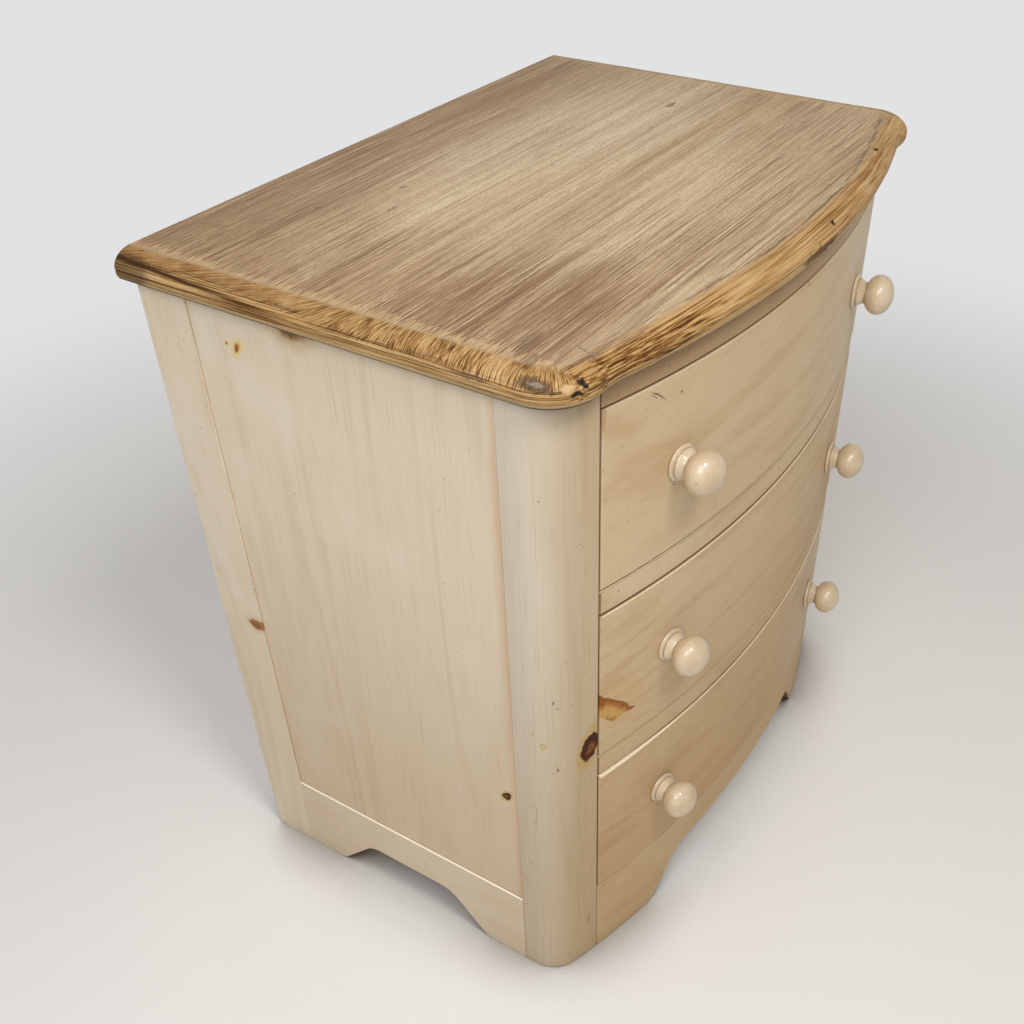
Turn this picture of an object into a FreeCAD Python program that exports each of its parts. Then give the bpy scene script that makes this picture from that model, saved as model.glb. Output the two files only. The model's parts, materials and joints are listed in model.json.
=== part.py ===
import FreeCAD, Part
import os
import re

# Bow-front nightstand with three drawers, in millimetres.
# +X is to the right of someone facing the drawers, the drawers open along -Y and +Z is up.
# The origin is on the floor, under the middle of the whole piece.

doc = FreeCAD.newDocument("bow_front_nightstand")
sheet = doc.addObject("Spreadsheet::Sheet", "sizes")

driving_sizes = [
    # The case
    ("case_width", "546"),
    ("case_depth", "383"),
    ("bow_radius", "781"),
    ("front_post_width", "44.5"),
    ("front_post_depth", "48"),
    ("front_post_round", "30"),
    ("rear_post_width", "30"),
    ("rear_post_depth", "45"),
    ("panel_thickness", "12"),
    ("panel_recess", "2"),
    ("panel_groove", "8"),
    ("panel_fit", "0.2"),
    # Rails and aprons
    ("apron_height", "88"),
    ("apron_thickness", "20"),
    ("side_apron_height", "85"),
    ("rail_height", "22"),
    ("rail_depth", "60"),
    ("top_rail_height", "19.5"),
    ("back_rail_height", "40"),
    ("back_rail_thickness", "20"),
    ("back_foot_height", "60"),
    ("tenon_length", "12"),
    ("tenon_thickness", "10"),
    ("tenon_shoulder", "5"),
    ("tenon_fit", "0.2"),
    # Cut-outs under the aprons
    ("front_arch_width", "318"),
    ("front_arch_run", "40"),
    ("front_arch_height", "54"),
    ("front_arch_radius", "1150"),
    ("side_arch_width", "172"),
    ("side_arch_run", "40"),
    ("side_arch_height", "42"),
    ("arch_shoulder_round", "24"),
    ("arch_foot_round", "14"),
    # The top
    ("top_thickness", "21"),
    ("top_side_overhang", "10"),
    ("top_back_overhang", "6"),
    ("top_front_overhang", "9.5"),
    ("top_ear_width", "51"),
    ("top_ear_setback", "31.5"),
    ("top_ear_round", "36"),
    ("top_hollow_round", "60"),
    ("top_upper_round", "11"),
    ("top_lower_round", "6"),
    # The back
    ("back_thickness", "6"),
    ("back_rebate", "10"),
    # Runners, guides and stops
    ("runner_height", "20"),
    ("runner_width", "20"),
    ("guide_height", "18"),
    ("stop_width", "14"),
    ("stop_depth", "11"),
    ("stop_height", "12"),
    ("stop_gap", "0.5"),
    ("glue_block", "22"),
    ("glue_block_height", "50"),
    ("glue_block_gap", "1"),
    # Drawers
    ("drawer_opening_height", "142.5"),
    ("drawer_gap", "1.2"),
    ("drawer_front_thickness", "20"),
    ("drawer_front_proud", "0.8"),
    ("drawer_front_round", "1.8"),
    ("drawer_side_gap", "2.2"),
    ("drawer_side_thickness", "12"),
    ("drawer_side_height", "136"),
    ("drawer_back_thickness", "12"),
    ("drawer_back_drop", "8"),
    ("drawer_rear_space", "13"),
    ("drawer_bottom_thickness", "5"),
    ("drawer_bottom_height", "8"),
    ("drawer_groove", "5"),
    ("drawer_groove_fit", "0.2"),
    ("runner_clearance", "0.3"),
    # Knobs, turned on their own axis
    ("knob_inset", "73.5"),
    ("knob_diameter", "35"),
    ("knob_head_length", "27"),
    ("knob_length", "33.5"),
    ("knob_base_diameter", "28"),
    ("knob_base_thickness", "2.6"),
    ("knob_bead_round", "2"),
    ("knob_collar_diameter", "23"),
    ("knob_neck_diameter", "18.5"),
    ("knob_cove_round", "5"),
    # Screws and pins
    ("screw_diameter", "4"),
    ("screw_head_diameter", "8"),
    ("screw_head_height", "2.6"),
    ("screw_hold", "13"),
    ("hole_fit", "0.2"),
    ("pin_diameter", "1.6"),
    ("pin_head_diameter", "4"),
    ("pin_head_height", "0.8"),
    ("pin_length", "16"),
    # How far a cut runs past the face that it opens
    ("overcut", "1"),
]

# Sizes and places that follow from the driving sizes
derived_sizes = [
    ("case_half", "case_width / 2"),
    ("opening_half", "case_half - front_post_width"),
    ("knob_sine", "(opening_half - knob_inset) / bow_radius"),
    ("knob_stand", "drawer_front_proud + knob_length"),
    ("knob_reach", "(bow_radius + knob_stand) * sqrt(1 - knob_sine ^ 2) - bow_radius"),
    ("case_back", "(case_depth + knob_reach - top_back_overhang) / 2"),
    ("crown", "case_back - case_depth"),
    ("bow_centre", "crown + bow_radius"),
    ("bow_end", "bow_centre - sqrt(bow_radius ^ 2 - opening_half ^ 2)"),
    ("post_rear", "bow_end + front_post_depth"),
    ("rear_post_front", "case_back - rear_post_depth"),
    ("rear_post_inner", "case_half - rear_post_width"),
    ("rail_back", "crown + rail_depth"),
    ("panel_outer", "case_half - panel_recess"),
    ("panel_inner", "panel_outer - panel_thickness"),
    ("guide_outer", "case_half - apron_thickness"),
    ("drawer_step", "drawer_opening_height + rail_height"),
    ("top_rail_low", "apron_height + 3 * drawer_step - rail_height"),
    ("top_underside", "top_rail_low + top_rail_height"),
    ("top_surface", "top_underside + top_thickness"),
    ("top_half", "case_half + top_side_overhang"),
    ("top_crown", "crown - top_front_overhang"),
    ("top_ear_front", "top_crown + top_ear_setback"),
    ("top_bow_half", "top_half - top_ear_width"),
    ("top_bow_radius", "(top_bow_half ^ 2 / top_ear_setback + top_ear_setback) / 2"),
    ("top_back", "case_back + top_back_overhang"),
    ("back_rail_rear", "case_back - back_thickness"),
    ("back_rail_front", "back_rail_rear - back_rail_thickness"),
    ("front_face_radius", "bow_radius + drawer_front_proud"),
    ("front_inner_radius", "front_face_radius - drawer_front_thickness"),
    ("drawer_rear", "rear_post_front - drawer_rear_space"),
    ("drawer_side_outer", "opening_half - drawer_side_gap"),
    ("drawer_side_inner", "drawer_side_outer - drawer_side_thickness"),
    ("screw_radius", "screw_diameter / 2"),
    ("screw_head_radius", "screw_head_diameter / 2"),
    ("screw_seat", "drawer_front_thickness + screw_head_radius ^ 2 / front_inner_radius"),
    ("pin_radius", "pin_diameter / 2"),
    ("pin_head_radius", "pin_head_diameter / 2"),
]

for row, (alias, size) in enumerate(driving_sizes, 1):
    sheet.set(f"A{row}", alias)
    sheet.set(f"B{row}", size)
    sheet.setAlias(f"B{row}", alias)
for row, (alias, formula) in enumerate(derived_sizes, len(driving_sizes) + 2):
    sheet.set(f"A{row}", alias)
    sheet.set(f"B{row}", "=" + formula)
    sheet.setAlias(f"B{row}", alias)
doc.recompute()

aliases = {alias for alias, text in driving_sizes + derived_sizes}
nodes = []
touch = 0.01
along = {
    "x": FreeCAD.Vector(1, 0, 0),
    "y": FreeCAD.Vector(0, 1, 0),
    "-y": FreeCAD.Vector(0, -1, 0),
    "z": FreeCAD.Vector(0, 0, 1),
}


def tie(text):
    """The formula as other objects of the document write it."""
    return re.sub(r"[a-z_]+", lambda word: "sizes." + word[0] if word[0] in aliases else word[0], text)


def value(text):
    return float(sheet.evalExpression(text))


def grow(span, amount):
    return f"({span[0]}) - ({amount})", f"({span[1]}) + ({amount})"


def across(side, inner, outer):
    """The X span from inner to outer on the left, side -1, or on the right, side 1."""
    return (inner, outer) if side > 0 else (f"-({outer})", f"-({inner})")


def place(solid, x, y, z):
    for axis, text in zip("xyz", (x, y, z)):
        solid.setExpression(f"Placement.Base.{axis}", tie(text))


def box(name, x, y, z):
    solid = doc.addObject("Part::Box", name)
    for size, (low, high) in zip(("Length", "Width", "Height"), (x, y, z)):
        solid.setExpression(size, tie(f"({high}) - ({low})"))
    place(solid, x[0], y[0], z[0])
    return solid


def rod(name, radius, length, direction, x, y, z):
    solid = doc.addObject("Part::Cylinder", name)
    solid.Placement.Rotation = FreeCAD.Rotation(along["z"], along[direction])
    solid.setExpression("Radius", tie(radius))
    solid.setExpression("Height", tie(length))
    place(solid, x, y, z)
    return solid


def bow_disc(name, radius, z):
    """An upright disc about the centre of the bow."""
    return rod(name, radius, f"({z[1]}) - ({z[0]})", "z", "0", "bow_centre", z[0])


def fuse(name, *pieces):
    joined = doc.addObject("Part::MultiFuse", name)
    joined.Shapes = list(pieces)
    joined.Refine = True
    return joined


def common(name, *pieces):
    shared = doc.addObject("Part::MultiCommon", name)
    shared.Shapes = list(pieces)
    return shared


def cut(name, base, *tools):
    left = doc.addObject("Part::Cut", name)
    left.Base = base
    left.Tool = tools[0] if len(tools) == 1 else fuse(name + "_tools", *tools)
    return left


def group(name, pieces):
    gathered = doc.addObject("Part::Compound", name)
    gathered.Links = list(pieces)
    return gathered


def rounded(name, base, radius, chosen):
    """Rounds the edges that chosen picks."""
    doc.recompute()
    solid = doc.addObject("Part::Fillet", name)
    solid.Base = base
    size = value(radius)
    solid.Edges = [(number, size, size) for number, edge in enumerate(base.Shape.Edges, 1) if chosen(edge)]
    return solid


def keep(solid, label):
    solid.Label = label
    nodes.append(solid)
    return solid


def middle(edge):
    first, last = edge.ParameterRange
    return edge.valueAt((first + last) / 2)


def runs_along(edge, axis):
    """True for a straight edge along the axis, given as 0, 1 or 2."""
    if not isinstance(edge.Curve, Part.Line):
        return False
    step = edge.Vertexes[-1].Point - edge.Vertexes[0].Point
    return abs(step[axis]) > step.Length - touch


def near(first, second):
    return abs(first - second) < touch


def level(number):
    """The floor of a drawer's opening, counted from the bottom drawer."""
    return f"(apron_height + {number} * drawer_step)"


sides = (("left", -1), ("right", 1))
drawers = (("bottom", 0), ("middle", 1), ("top", 2))


# The top: a slab with rounded front corners, and the bow that swells out between them

def top_screw_places():
    """Where the screws of the top stand: beside the drawers, three on each side."""
    spots = []
    for side_name, side in sides:
        for share in ("1 / 6", "1 / 2", "5 / 6"):
            x = f"{side} * (opening_half + guide_outer) / 2"
            y = f"post_rear + (rear_post_front - post_rear) * {share}"
            spots.append((f"{side_name}_{len(spots)}", x, y))
    return spots


def make_top():
    height = ("top_underside", "top_surface")
    width = ("-top_half", "top_half")
    slab = box("top_slab", width, ("top_ear_front", "top_back"), height)
    front = value("top_ear_front")
    slab = rounded("top_eared_slab", slab, "top_ear_round",
                   lambda edge: runs_along(edge, 2) and near(middle(edge).y, front))
    disc = rod("top_bow_disc", "top_bow_radius", "top_thickness", "z",
               "0", "top_crown + top_bow_radius", "top_underside")
    limit = box("top_bow_limit", width, ("top_crown - overcut", "top_ear_front + overcut"), height)
    whole = fuse("top_outline", slab, common("top_swell", disc, limit))
    hollow = value("top_bow_half")
    whole = rounded("top_hollowed", whole, "top_hollow_round",
                    lambda edge: runs_along(edge, 2) and near(abs(middle(edge).x), hollow))
    back = value("top_back")
    for name, height_text, radius in (("top_rolled", "top_surface", "top_upper_round"),
                                      ("top_eased", "top_underside", "top_lower_round")):
        flat = value(height_text)
        whole = rounded(name, whole, radius, lambda edge: near(edge.BoundBox.ZMin, flat)
                        and near(edge.BoundBox.ZMax, flat) and edge.BoundBox.YMin < back - touch)
    holes = []
    for name, x, y in top_screw_places():
        holes.append(rod(f"top_hole_{name}", "screw_radius + hole_fit", "screw_hold + hole_fit", "z",
                         x, y, "top_underside"))
    return keep(cut("top_panel", whole, *holes), "top_panel")


# Tenons: each is a box that grows from the end of a rail, and its mortise is the same box with room to fit

def rail_heights():
    """The spans of height of the front rails and the apron, from the floor up."""
    spans = {"front_apron": ("0", "apron_height")}
    for number, name in ((1, "lower_mid_rail"), (2, "upper_mid_rail")):
        spans[name] = (f"{level(number)} - rail_height", level(number))
    spans["top_front_rail"] = ("top_rail_low", "top_underside")
    return spans


def shouldered(span):
    return grow(span, "-tenon_shoulder")


def front_tenon(name, side, fit):
    """The tenon of a front rail, along X into a front post."""
    if name == "front_apron":
        y = ("bow_end + tenon_shoulder", "bow_end + tenon_shoulder + tenon_thickness")
        z = ("front_arch_height", "apron_height - tenon_shoulder")
    else:
        y = ("rail_back - tenon_shoulder - tenon_thickness", "rail_back - tenon_shoulder")
        z = shouldered(rail_heights()[name])
    x = across(side, "opening_half - overcut", f"opening_half + tenon_length + {fit}")
    return x, grow(y, fit), grow(z, fit)


def side_tenon(end, side, fit):
    """The tenon of a side apron, along Y into the front or the rear post."""
    x = across(side, "guide_outer + tenon_shoulder", "guide_outer + tenon_shoulder + tenon_thickness")
    if end == "front":
        y = (f"post_rear - tenon_length - {fit}", "post_rear + overcut")
    else:
        y = ("rear_post_front - overcut", f"rear_post_front + tenon_length + {fit}")
    z = ("side_arch_height", "side_apron_height - panel_groove - tenon_shoulder")
    return grow(x, fit), y, grow(z, fit)


def back_rail_heights():
    return {
        "back_bottom_rail": ("back_foot_height", "back_foot_height + back_rail_height"),
        "back_top_rail": ("top_underside - back_rail_height", "top_underside"),
    }


def back_tenon(name, side, fit):
    """The tenon of a back rail, along X into a rear post."""
    x = across(side, "rear_post_inner - overcut", f"rear_post_inner + tenon_length + {fit}")
    y = ("back_rail_front + tenon_shoulder", "back_rail_front + tenon_shoulder + tenon_thickness")
    return x, grow(y, fit), grow(shouldered(back_rail_heights()[name]), fit)


# The posts

def panel_room(side):
    """The X span of a groove that holds the edge of a side panel."""
    return across(side, "panel_inner - panel_fit", "panel_outer + panel_fit")


def post_groove(side, y):
    return panel_room(side), y, ("side_apron_height - panel_groove", "top_underside")


def make_front_post(side_name, side):
    label = f"{side_name}_front_post"
    height = ("0", "top_underside")
    blank = box(label + "_blank", across(side, "opening_half", "case_half"), ("crown", "post_rear"), height)
    bowed = common(label + "_bowed", blank, bow_disc(label + "_bow", "bow_radius", height))
    outside = side * value("case_half")
    rear = value("post_rear")
    shaped = rounded(label + "_shaped", bowed, "front_post_round",
                     lambda edge: runs_along(edge, 2) and near(middle(edge).x, outside)
                     and middle(edge).y < rear - touch)
    tools = [box(label + "_groove", *post_groove(side, ("post_rear - panel_groove", "post_rear")))]
    for name in rail_heights():
        tools.append(box(f"{label}_{name}_mortise", *front_tenon(name, side, "tenon_fit")))
    tools.append(box(label + "_apron_mortise", *side_tenon("front", side, "tenon_fit")))
    return keep(cut(label, shaped, *tools), label)


def make_rear_post(side_name, side):
    label = f"{side_name}_rear_post"
    height = ("0", "top_underside")
    blank = box(label + "_blank", across(side, "rear_post_inner", "case_half"),
                ("rear_post_front", "case_back"), height)
    tools = [
        box(label + "_groove", *post_groove(side, ("rear_post_front", "rear_post_front + panel_groove"))),
        box(label + "_rebate", across(side, "rear_post_inner", "rear_post_inner + back_rebate"),
            ("back_rail_rear", "case_back"), ("back_foot_height", "top_underside")),
        box(label + "_apron_mortise", *side_tenon("rear", side, "tenon_fit")),
    ]
    for name in back_rail_heights():
        tools.append(box(f"{label}_{name}_mortise", *back_tenon(name, side, "tenon_fit")))
    return keep(cut(label, blank, *tools), label)


# The sides

def make_side_panel(side_name, side):
    label = f"{side_name}_side_panel"
    y = ("post_rear - panel_groove + panel_fit", "rear_post_front + panel_groove - panel_fit")
    z = ("side_apron_height - panel_groove + panel_fit", "top_underside")
    return keep(box(label, across(side, "panel_inner", "panel_outer"), y, z), label)


def arch(name, width, run, height, turn, reach):
    """The prism of a cut-out: wide at the floor, with sloped ends."""
    prism = doc.addObject("Part::Wedge", name)
    prism.Placement.Rotation = turn
    spans = {
        "Xmin": f"-{width} / 2",
        "Xmax": f"{width} / 2",
        "X2min": f"{run} - {width} / 2",
        "X2max": f"{width} / 2 - {run}",
        "Ymin": "0",
        "Ymax": height,
        "Zmin": reach[0],
        "Zmax": reach[1],
        "Z2min": reach[0],
        "Z2max": reach[1],
    }
    for corner, text in spans.items():
        prism.setExpression(corner, tie(text))
    return prism


def make_side_apron(side_name, side):
    label = f"{side_name}_side_apron"
    board = box(label + "_board", across(side, "guide_outer", "case_half"),
                ("post_rear", "rear_post_front"), ("0", "side_apron_height"))
    turn = FreeCAD.Rotation(FreeCAD.Vector(1, 1, 1), 120)
    gap = arch(label + "_arch", "side_arch_width", "side_arch_run", "side_arch_height", turn,
               across(side, "guide_outer - overcut", "case_half + overcut"))
    place(gap, "0", "(post_rear + rear_post_front) / 2", "0")
    groove = box(label + "_groove", panel_room(side), ("post_rear", "rear_post_front"),
                 ("side_apron_height - panel_groove", "side_apron_height"))
    arched = cut(label + "_arched", board, gap, groove)
    shoulder = value("side_arch_height")
    reach = value("side_arch_width / 2 + overcut")
    centre = value("(post_rear + rear_post_front) / 2")
    within = lambda edge: runs_along(edge, 0) and abs(middle(edge).y - centre) < reach
    arched = rounded(label + "_shouldered", arched, "arch_shoulder_round",
                     lambda edge: within(edge) and near(middle(edge).z, shoulder))
    arched = rounded(label + "_footed", arched, "arch_foot_round",
                     lambda edge: within(edge) and near(middle(edge).z, 0))
    tenons = [box(f"{label}_{end}_tenon", *side_tenon(end, side, "0")) for end in ("front", "rear")]
    return keep(fuse(label, arched, *tenons), label)


# The front frame

def make_front_rail(name):
    z = rail_heights()[name]
    blank = box(name + "_blank", ("-opening_half", "opening_half"), ("crown", "rail_back"), z)
    bowed = common(name + "_bowed", blank, bow_disc(name + "_bow", "bow_radius", z))
    tenons = [box(f"{name}_{side_name}_tenon", *front_tenon(name, side, "0")) for side_name, side in sides]
    return keep(fuse(name, bowed, *tenons), name)


def make_front_apron():
    label = "front_apron"
    z = rail_heights()[label]
    outer = bow_disc(label + "_outer", "bow_radius", z)
    inner = bow_disc(label + "_inner", "bow_radius - apron_thickness", z)
    width = ("-opening_half", "opening_half")
    board = common(label + "_board", cut(label + "_ring", outer, inner),
                   box(label + "_limit", width, ("crown", "post_rear"), z))
    turn = FreeCAD.Rotation(along["x"], 90)
    ends = arch(label + "_arch", "front_arch_width", "front_arch_run", "front_arch_height", turn,
                ("-post_rear", "overcut - crown"))
    vault = rod(label + "_vault", "front_arch_radius", "post_rear - crown + 2 * overcut", "y",
                "0", "crown - overcut", "front_arch_height - front_arch_radius")
    arched = cut(label + "_arched", board, common(label + "_gap", ends, vault))
    reach = value("front_arch_width / 2 + overcut")
    within = lambda edge: runs_along(edge, 1) and abs(middle(edge).x) < reach
    arched = rounded(label + "_shouldered", arched, "arch_shoulder_round",
                     lambda edge: within(edge) and not near(middle(edge).z, 0))
    arched = rounded(label + "_footed", arched, "arch_foot_round",
                     lambda edge: within(edge) and near(middle(edge).z, 0))
    tenons = [box(f"{label}_{side_name}_tenon", *front_tenon(label, side, "0")) for side_name, side in sides]
    return keep(fuse(label, arched, *tenons), label)


# The back

def pin_places():
    """Where the pins of the back panel stand: four along each back rail."""
    spots = []
    for name, (low, high) in back_rail_heights().items():
        for share in (-3, -1, 1, 3):
            x = f"rear_post_inner * {share} / 4"
            spots.append((f"{name}_{share + 4}", x, f"(({low}) + ({high})) / 2"))
    return spots


def pin_bores(owner, fit):
    """The shanks and heads of the pins, grown by fit."""
    solids = []
    for name, x, z in pin_places():
        lengths = {"shank": ("pin_radius", "pin_length"), "head": ("pin_head_radius", "pin_head_height")}
        pin = [rod(f"{owner}_{name}_{part}", f"{radius} + {fit}", f"{length} + {fit}", "-y",
                   x, "case_back", z)
               for part, (radius, length) in lengths.items()]
        solids.append(fuse(f"{owner}_{name}", *pin))
    return solids


def make_back():
    for name, z in back_rail_heights().items():
        board = box(name + "_board", ("-rear_post_inner", "rear_post_inner"),
                    ("back_rail_front", "back_rail_rear"), z)
        tenons = [box(f"{name}_{side_name}_tenon", *back_tenon(name, side, "0")) for side_name, side in sides]
        keep(cut(name, fuse(name + "_joined", board, *tenons), *pin_bores(name + "_bore", "hole_fit")), name)
    panel = box("back_panel_board", grow(("-rear_post_inner", "rear_post_inner"), "back_rebate - panel_fit"),
                ("back_rail_rear", "case_back"), ("back_foot_height + panel_fit", "top_underside"))
    keep(cut("back_panel", panel, *pin_bores("back_panel_bore", "hole_fit")), "back_panel")
    keep(group("back_panel_pins", pin_bores("back_panel_pin", "0")), "back_panel_pins")


# Cleats under the top, and the screws that go up through them

def side_strip(label, side, bearing_height, guide_height):
    """A strip along one side: the bearing part lies in the opening, the guide part behind the post."""
    bearing = box(label + "_bearing", across(side, "opening_half - runner_width", "opening_half"),
                  ("rail_back", "rear_post_front"), bearing_height)
    guide = box(label + "_guide", across(side, "opening_half", "guide_outer"),
                ("post_rear", "rear_post_front"), guide_height)
    return fuse(label + "_strip", bearing, guide)


def top_screw(name, x, y, fit):
    """The shank and the sunk head of a screw of the top, grown by fit."""
    lengths = {
        "shank": ("screw_radius", "top_rail_height + screw_hold"),
        "head": ("screw_head_radius", "screw_head_height"),
    }
    return [rod(f"{name}_{part}", f"{radius} + {fit}", f"{length} + {fit}", "z", x, y, "top_rail_low")
            for part, (radius, length) in lengths.items()]


def make_cleats():
    height = ("top_rail_low", "top_underside")
    for side_name, side in sides:
        label = f"{side_name}_top_cleat"
        holes = []
        for name, x, y in top_screw_places():
            if name.startswith(side_name):
                holes += top_screw(f"cleat_hole_{name}", x, y, "hole_fit")
        keep(cut(label, side_strip(label, side, height, height), *holes), label)
    screws = [fuse(f"top_screw_{name}", *top_screw(f"top_screw_{name}", x, y, "0"))
              for name, x, y in top_screw_places()]
    keep(group("top_screws", screws), "top_screws")


# Runners, stops and glue blocks

def make_runners():
    stops = []
    for drawer_name, number in drawers:
        floor = level(number)
        for side_name, side in sides:
            label = f"{drawer_name}_{side_name}_runner"
            bearing_height = (f"{floor} - runner_height", floor)
            guide_height = (f"{floor} - runner_height", f"{floor} + guide_height")
            keep(side_strip(label, side, bearing_height, guide_height), label)
            x = across(side, "drawer_side_outer - stop_width", "drawer_side_outer")
            y = ("drawer_rear + stop_gap", "drawer_rear + stop_gap + stop_depth")
            stops.append(box(f"{drawer_name}_{side_name}_stop", x, y, (floor, f"{floor} + stop_height")))
    keep(group("drawer_stops", stops), "drawer_stops")


def make_glue_blocks():
    blocks = []
    block_top = "apron_height - runner_height - glue_block_gap"
    z = (f"{block_top} - glue_block_height", block_top)
    for side_name, side in sides:
        x = across(side, "guide_outer - glue_block", "guide_outer")
        for end, y in (("front", ("post_rear", "post_rear + glue_block")),
                       ("rear", ("rear_post_front - glue_block", "rear_post_front"))):
            blocks.append(box(f"{side_name}_{end}_block", x, y, z))
    keep(group("glue_blocks", blocks), "glue_blocks")


# Knobs and their screws lie along -Y from the face of the drawer, and are then turned square to the bow

def stand_on_bow(solid, side, drawer_number):
    solid.Placement.Rotation = FreeCAD.Rotation(along["z"], side)
    solid.setExpression("Placement.Rotation.Angle", tie(f"{side} * asin(knob_sine)"))
    place(solid, f"{side} * front_face_radius * knob_sine",
          "bow_centre - front_face_radius * sqrt(1 - knob_sine ^ 2)",
          f"{level(drawer_number)} + drawer_opening_height / 2")
    return solid


def torus(name, major, minor, y):
    ring = doc.addObject("Part::Torus", name)
    ring.Placement.Rotation = FreeCAD.Rotation(along["z"], along["-y"])
    ring.setExpression("Radius1", tie(major))
    ring.setExpression("Radius2", tie(minor))
    place(ring, "0", y, "0")
    return ring


def make_knob(label, side, drawer_number):
    base = rod(label + "_base", "knob_base_diameter / 2", "knob_base_thickness", "-y", "0", "0", "0")
    bead = torus(label + "_bead", "knob_base_diameter / 2 - knob_bead_round", "knob_bead_round",
                 "-knob_base_thickness")
    head_centre = "knob_length - knob_head_length / 2"
    collar = rod(label + "_collar", "knob_collar_diameter / 2", head_centre, "-y", "0", "0", "0")
    cove = torus(label + "_cove", "knob_neck_diameter / 2 + knob_cove_round", "knob_cove_round",
                 "-(knob_base_thickness + knob_bead_round + knob_cove_round)")
    head = doc.addObject("Part::Ellipsoid", label + "_head")
    head.Placement.Rotation = FreeCAD.Rotation(along["z"], along["-y"])
    head.setExpression("Radius1", tie("knob_head_length / 2"))
    head.setExpression("Radius2", tie("knob_diameter / 2"))
    head.setExpression("Radius3", tie("knob_diameter / 2"))
    place(head, "0", f"-({head_centre})", "0")
    turned = fuse(label + "_turned", base, bead, cut(label + "_neck", collar, cove), head)
    bore = rod(label + "_bore", "screw_radius + hole_fit", "screw_hold + hole_fit", "-y", "0", "0", "0")
    keep(stand_on_bow(cut(label, turned, bore), side, drawer_number), label)


def make_knob_screw(label, side, drawer_number):
    shank = rod(label + "_shank", "screw_radius", "screw_seat + screw_hold", "-y", "0", "screw_seat", "0")
    head = rod(label + "_head", "screw_head_radius", "screw_head_height", "y", "0", "screw_seat", "0")
    return stand_on_bow(fuse(label, shank, head), side, drawer_number)


# A drawer: the bowed front, two sides, a back, and a bottom held in grooves

def make_drawer(name, number):
    floor = f"({level(number)} + runner_clearance)"
    front_height = grow((level(number), f"{level(number)} + drawer_opening_height"), "-drawer_gap")
    side_height = (floor, f"{floor} + drawer_side_height")
    bottom_low = f"{floor} + drawer_bottom_height"
    bottom_height = (bottom_low, f"{bottom_low} + drawer_bottom_thickness")
    bottom_width = grow(("-drawer_side_inner", "drawer_side_inner"), "drawer_groove")
    groove_height = grow(bottom_height, "drawer_groove_fit")
    depth = ("crown", "drawer_rear")

    label = f"{name}_drawer_front"
    ring = cut(label + "_ring", bow_disc(label + "_outer", "front_face_radius", front_height),
               bow_disc(label + "_inner", "front_inner_radius", front_height))
    limit = box(label + "_limit", ("drawer_gap - opening_half", "opening_half - drawer_gap"),
                ("crown - drawer_front_proud", "post_rear"), front_height)
    centre = FreeCAD.Vector(0, value("bow_centre"), 0)
    face = value("front_face_radius")
    on_face = lambda point: near(FreeCAD.Vector(point.x, point.y, 0).distanceToPoint(centre), face)
    eased = rounded(label + "_eased", common(label + "_board", ring, limit), "drawer_front_round",
                    lambda edge: on_face(middle(edge)) and all(on_face(end.Point) for end in edge.Vertexes))
    groove_disc = bow_disc(label + "_groove_disc", "front_inner_radius + drawer_groove", groove_height)
    groove_limit = box(label + "_groove_limit", grow(bottom_width, "drawer_groove_fit"),
                       ("crown", "post_rear"), groove_height)
    tools = [common(label + "_groove", groove_disc, groove_limit)]
    for side_name, side in sides:
        hole = rod(f"{label}_{side_name}_hole", "screw_radius + hole_fit",
                   "drawer_front_thickness + 2 * overcut", "y", "0", "-overcut", "0")
        tools.append(stand_on_bow(group(f"{label}_{side_name}_hole_turned", [hole]), side, number))
    keep(cut(label, eased, *tools), label)

    for side_name, side in sides:
        label = f"{name}_drawer_{side_name}_side"
        blank = box(label + "_blank", across(side, "drawer_side_inner", "drawer_side_outer"),
                    depth, side_height)
        fitted = common(label + "_fitted", blank, bow_disc(label + "_bow", "front_inner_radius", side_height))
        slot_depth = "drawer_side_inner + drawer_groove + drawer_groove_fit"
        slot = box(label + "_groove", across(side, "drawer_side_inner", slot_depth), depth, groove_height)
        keep(cut(label, fitted, slot), label)

    label = f"{name}_drawer_back"
    keep(box(label, ("-drawer_side_inner", "drawer_side_inner"),
             ("drawer_rear - drawer_back_thickness", "drawer_rear"),
             (bottom_height[1], f"{side_height[1]} - drawer_back_drop")), label)

    label = f"{name}_drawer_bottom"
    bottom_bow = bow_disc(label + "_bow", "front_inner_radius + drawer_groove - drawer_groove_fit",
                          bottom_height)
    keep(common(label, box(label + "_blank", bottom_width, depth, bottom_height), bottom_bow), label)

    screws = []
    for side_name, side in sides:
        make_knob(f"{name}_{side_name}_knob", side, number)
        screws.append(make_knob_screw(f"{name}_{side_name}_knob_screw", side, number))
    keep(group(f"{name}_knob_screws", screws), f"{name}_knob_screws")


make_top()
for side_name, side in sides:
    make_front_post(side_name, side)
    make_rear_post(side_name, side)
    make_side_panel(side_name, side)
    make_side_apron(side_name, side)
for name in ("top_front_rail", "upper_mid_rail", "lower_mid_rail"):
    make_front_rail(name)
make_front_apron()
make_back()
make_cleats()
make_runners()
make_glue_blocks()
for name, number in drawers:
    make_drawer(name, number)

doc.recompute()
for thing in doc.Objects:
    if "Invalid" in thing.State or "Error" in thing.State:
        raise RuntimeError(f"{thing.Label} failed: {thing.State}")
for node in nodes:
    if node.Shape.isNull() or not node.Shape.isValid() or not node.Shape.Solids:
        raise RuntimeError(f"{node.Label} has no valid solid")

os.makedirs("parts", exist_ok=True)
for node in nodes:
    node.Shape.exportStep(f"parts/{node.Label}.step")
    size = node.Shape.BoundBox
    print(f"{node.Label}: {len(node.Shape.Solids)} solids, {node.Shape.Volume:.0f} mm3, "
          f"{size.XLength:.1f} x {size.YLength:.1f} x {size.ZLength:.1f} mm")
print(f"{len(nodes)} nodes")
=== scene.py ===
import json
import math

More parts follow.
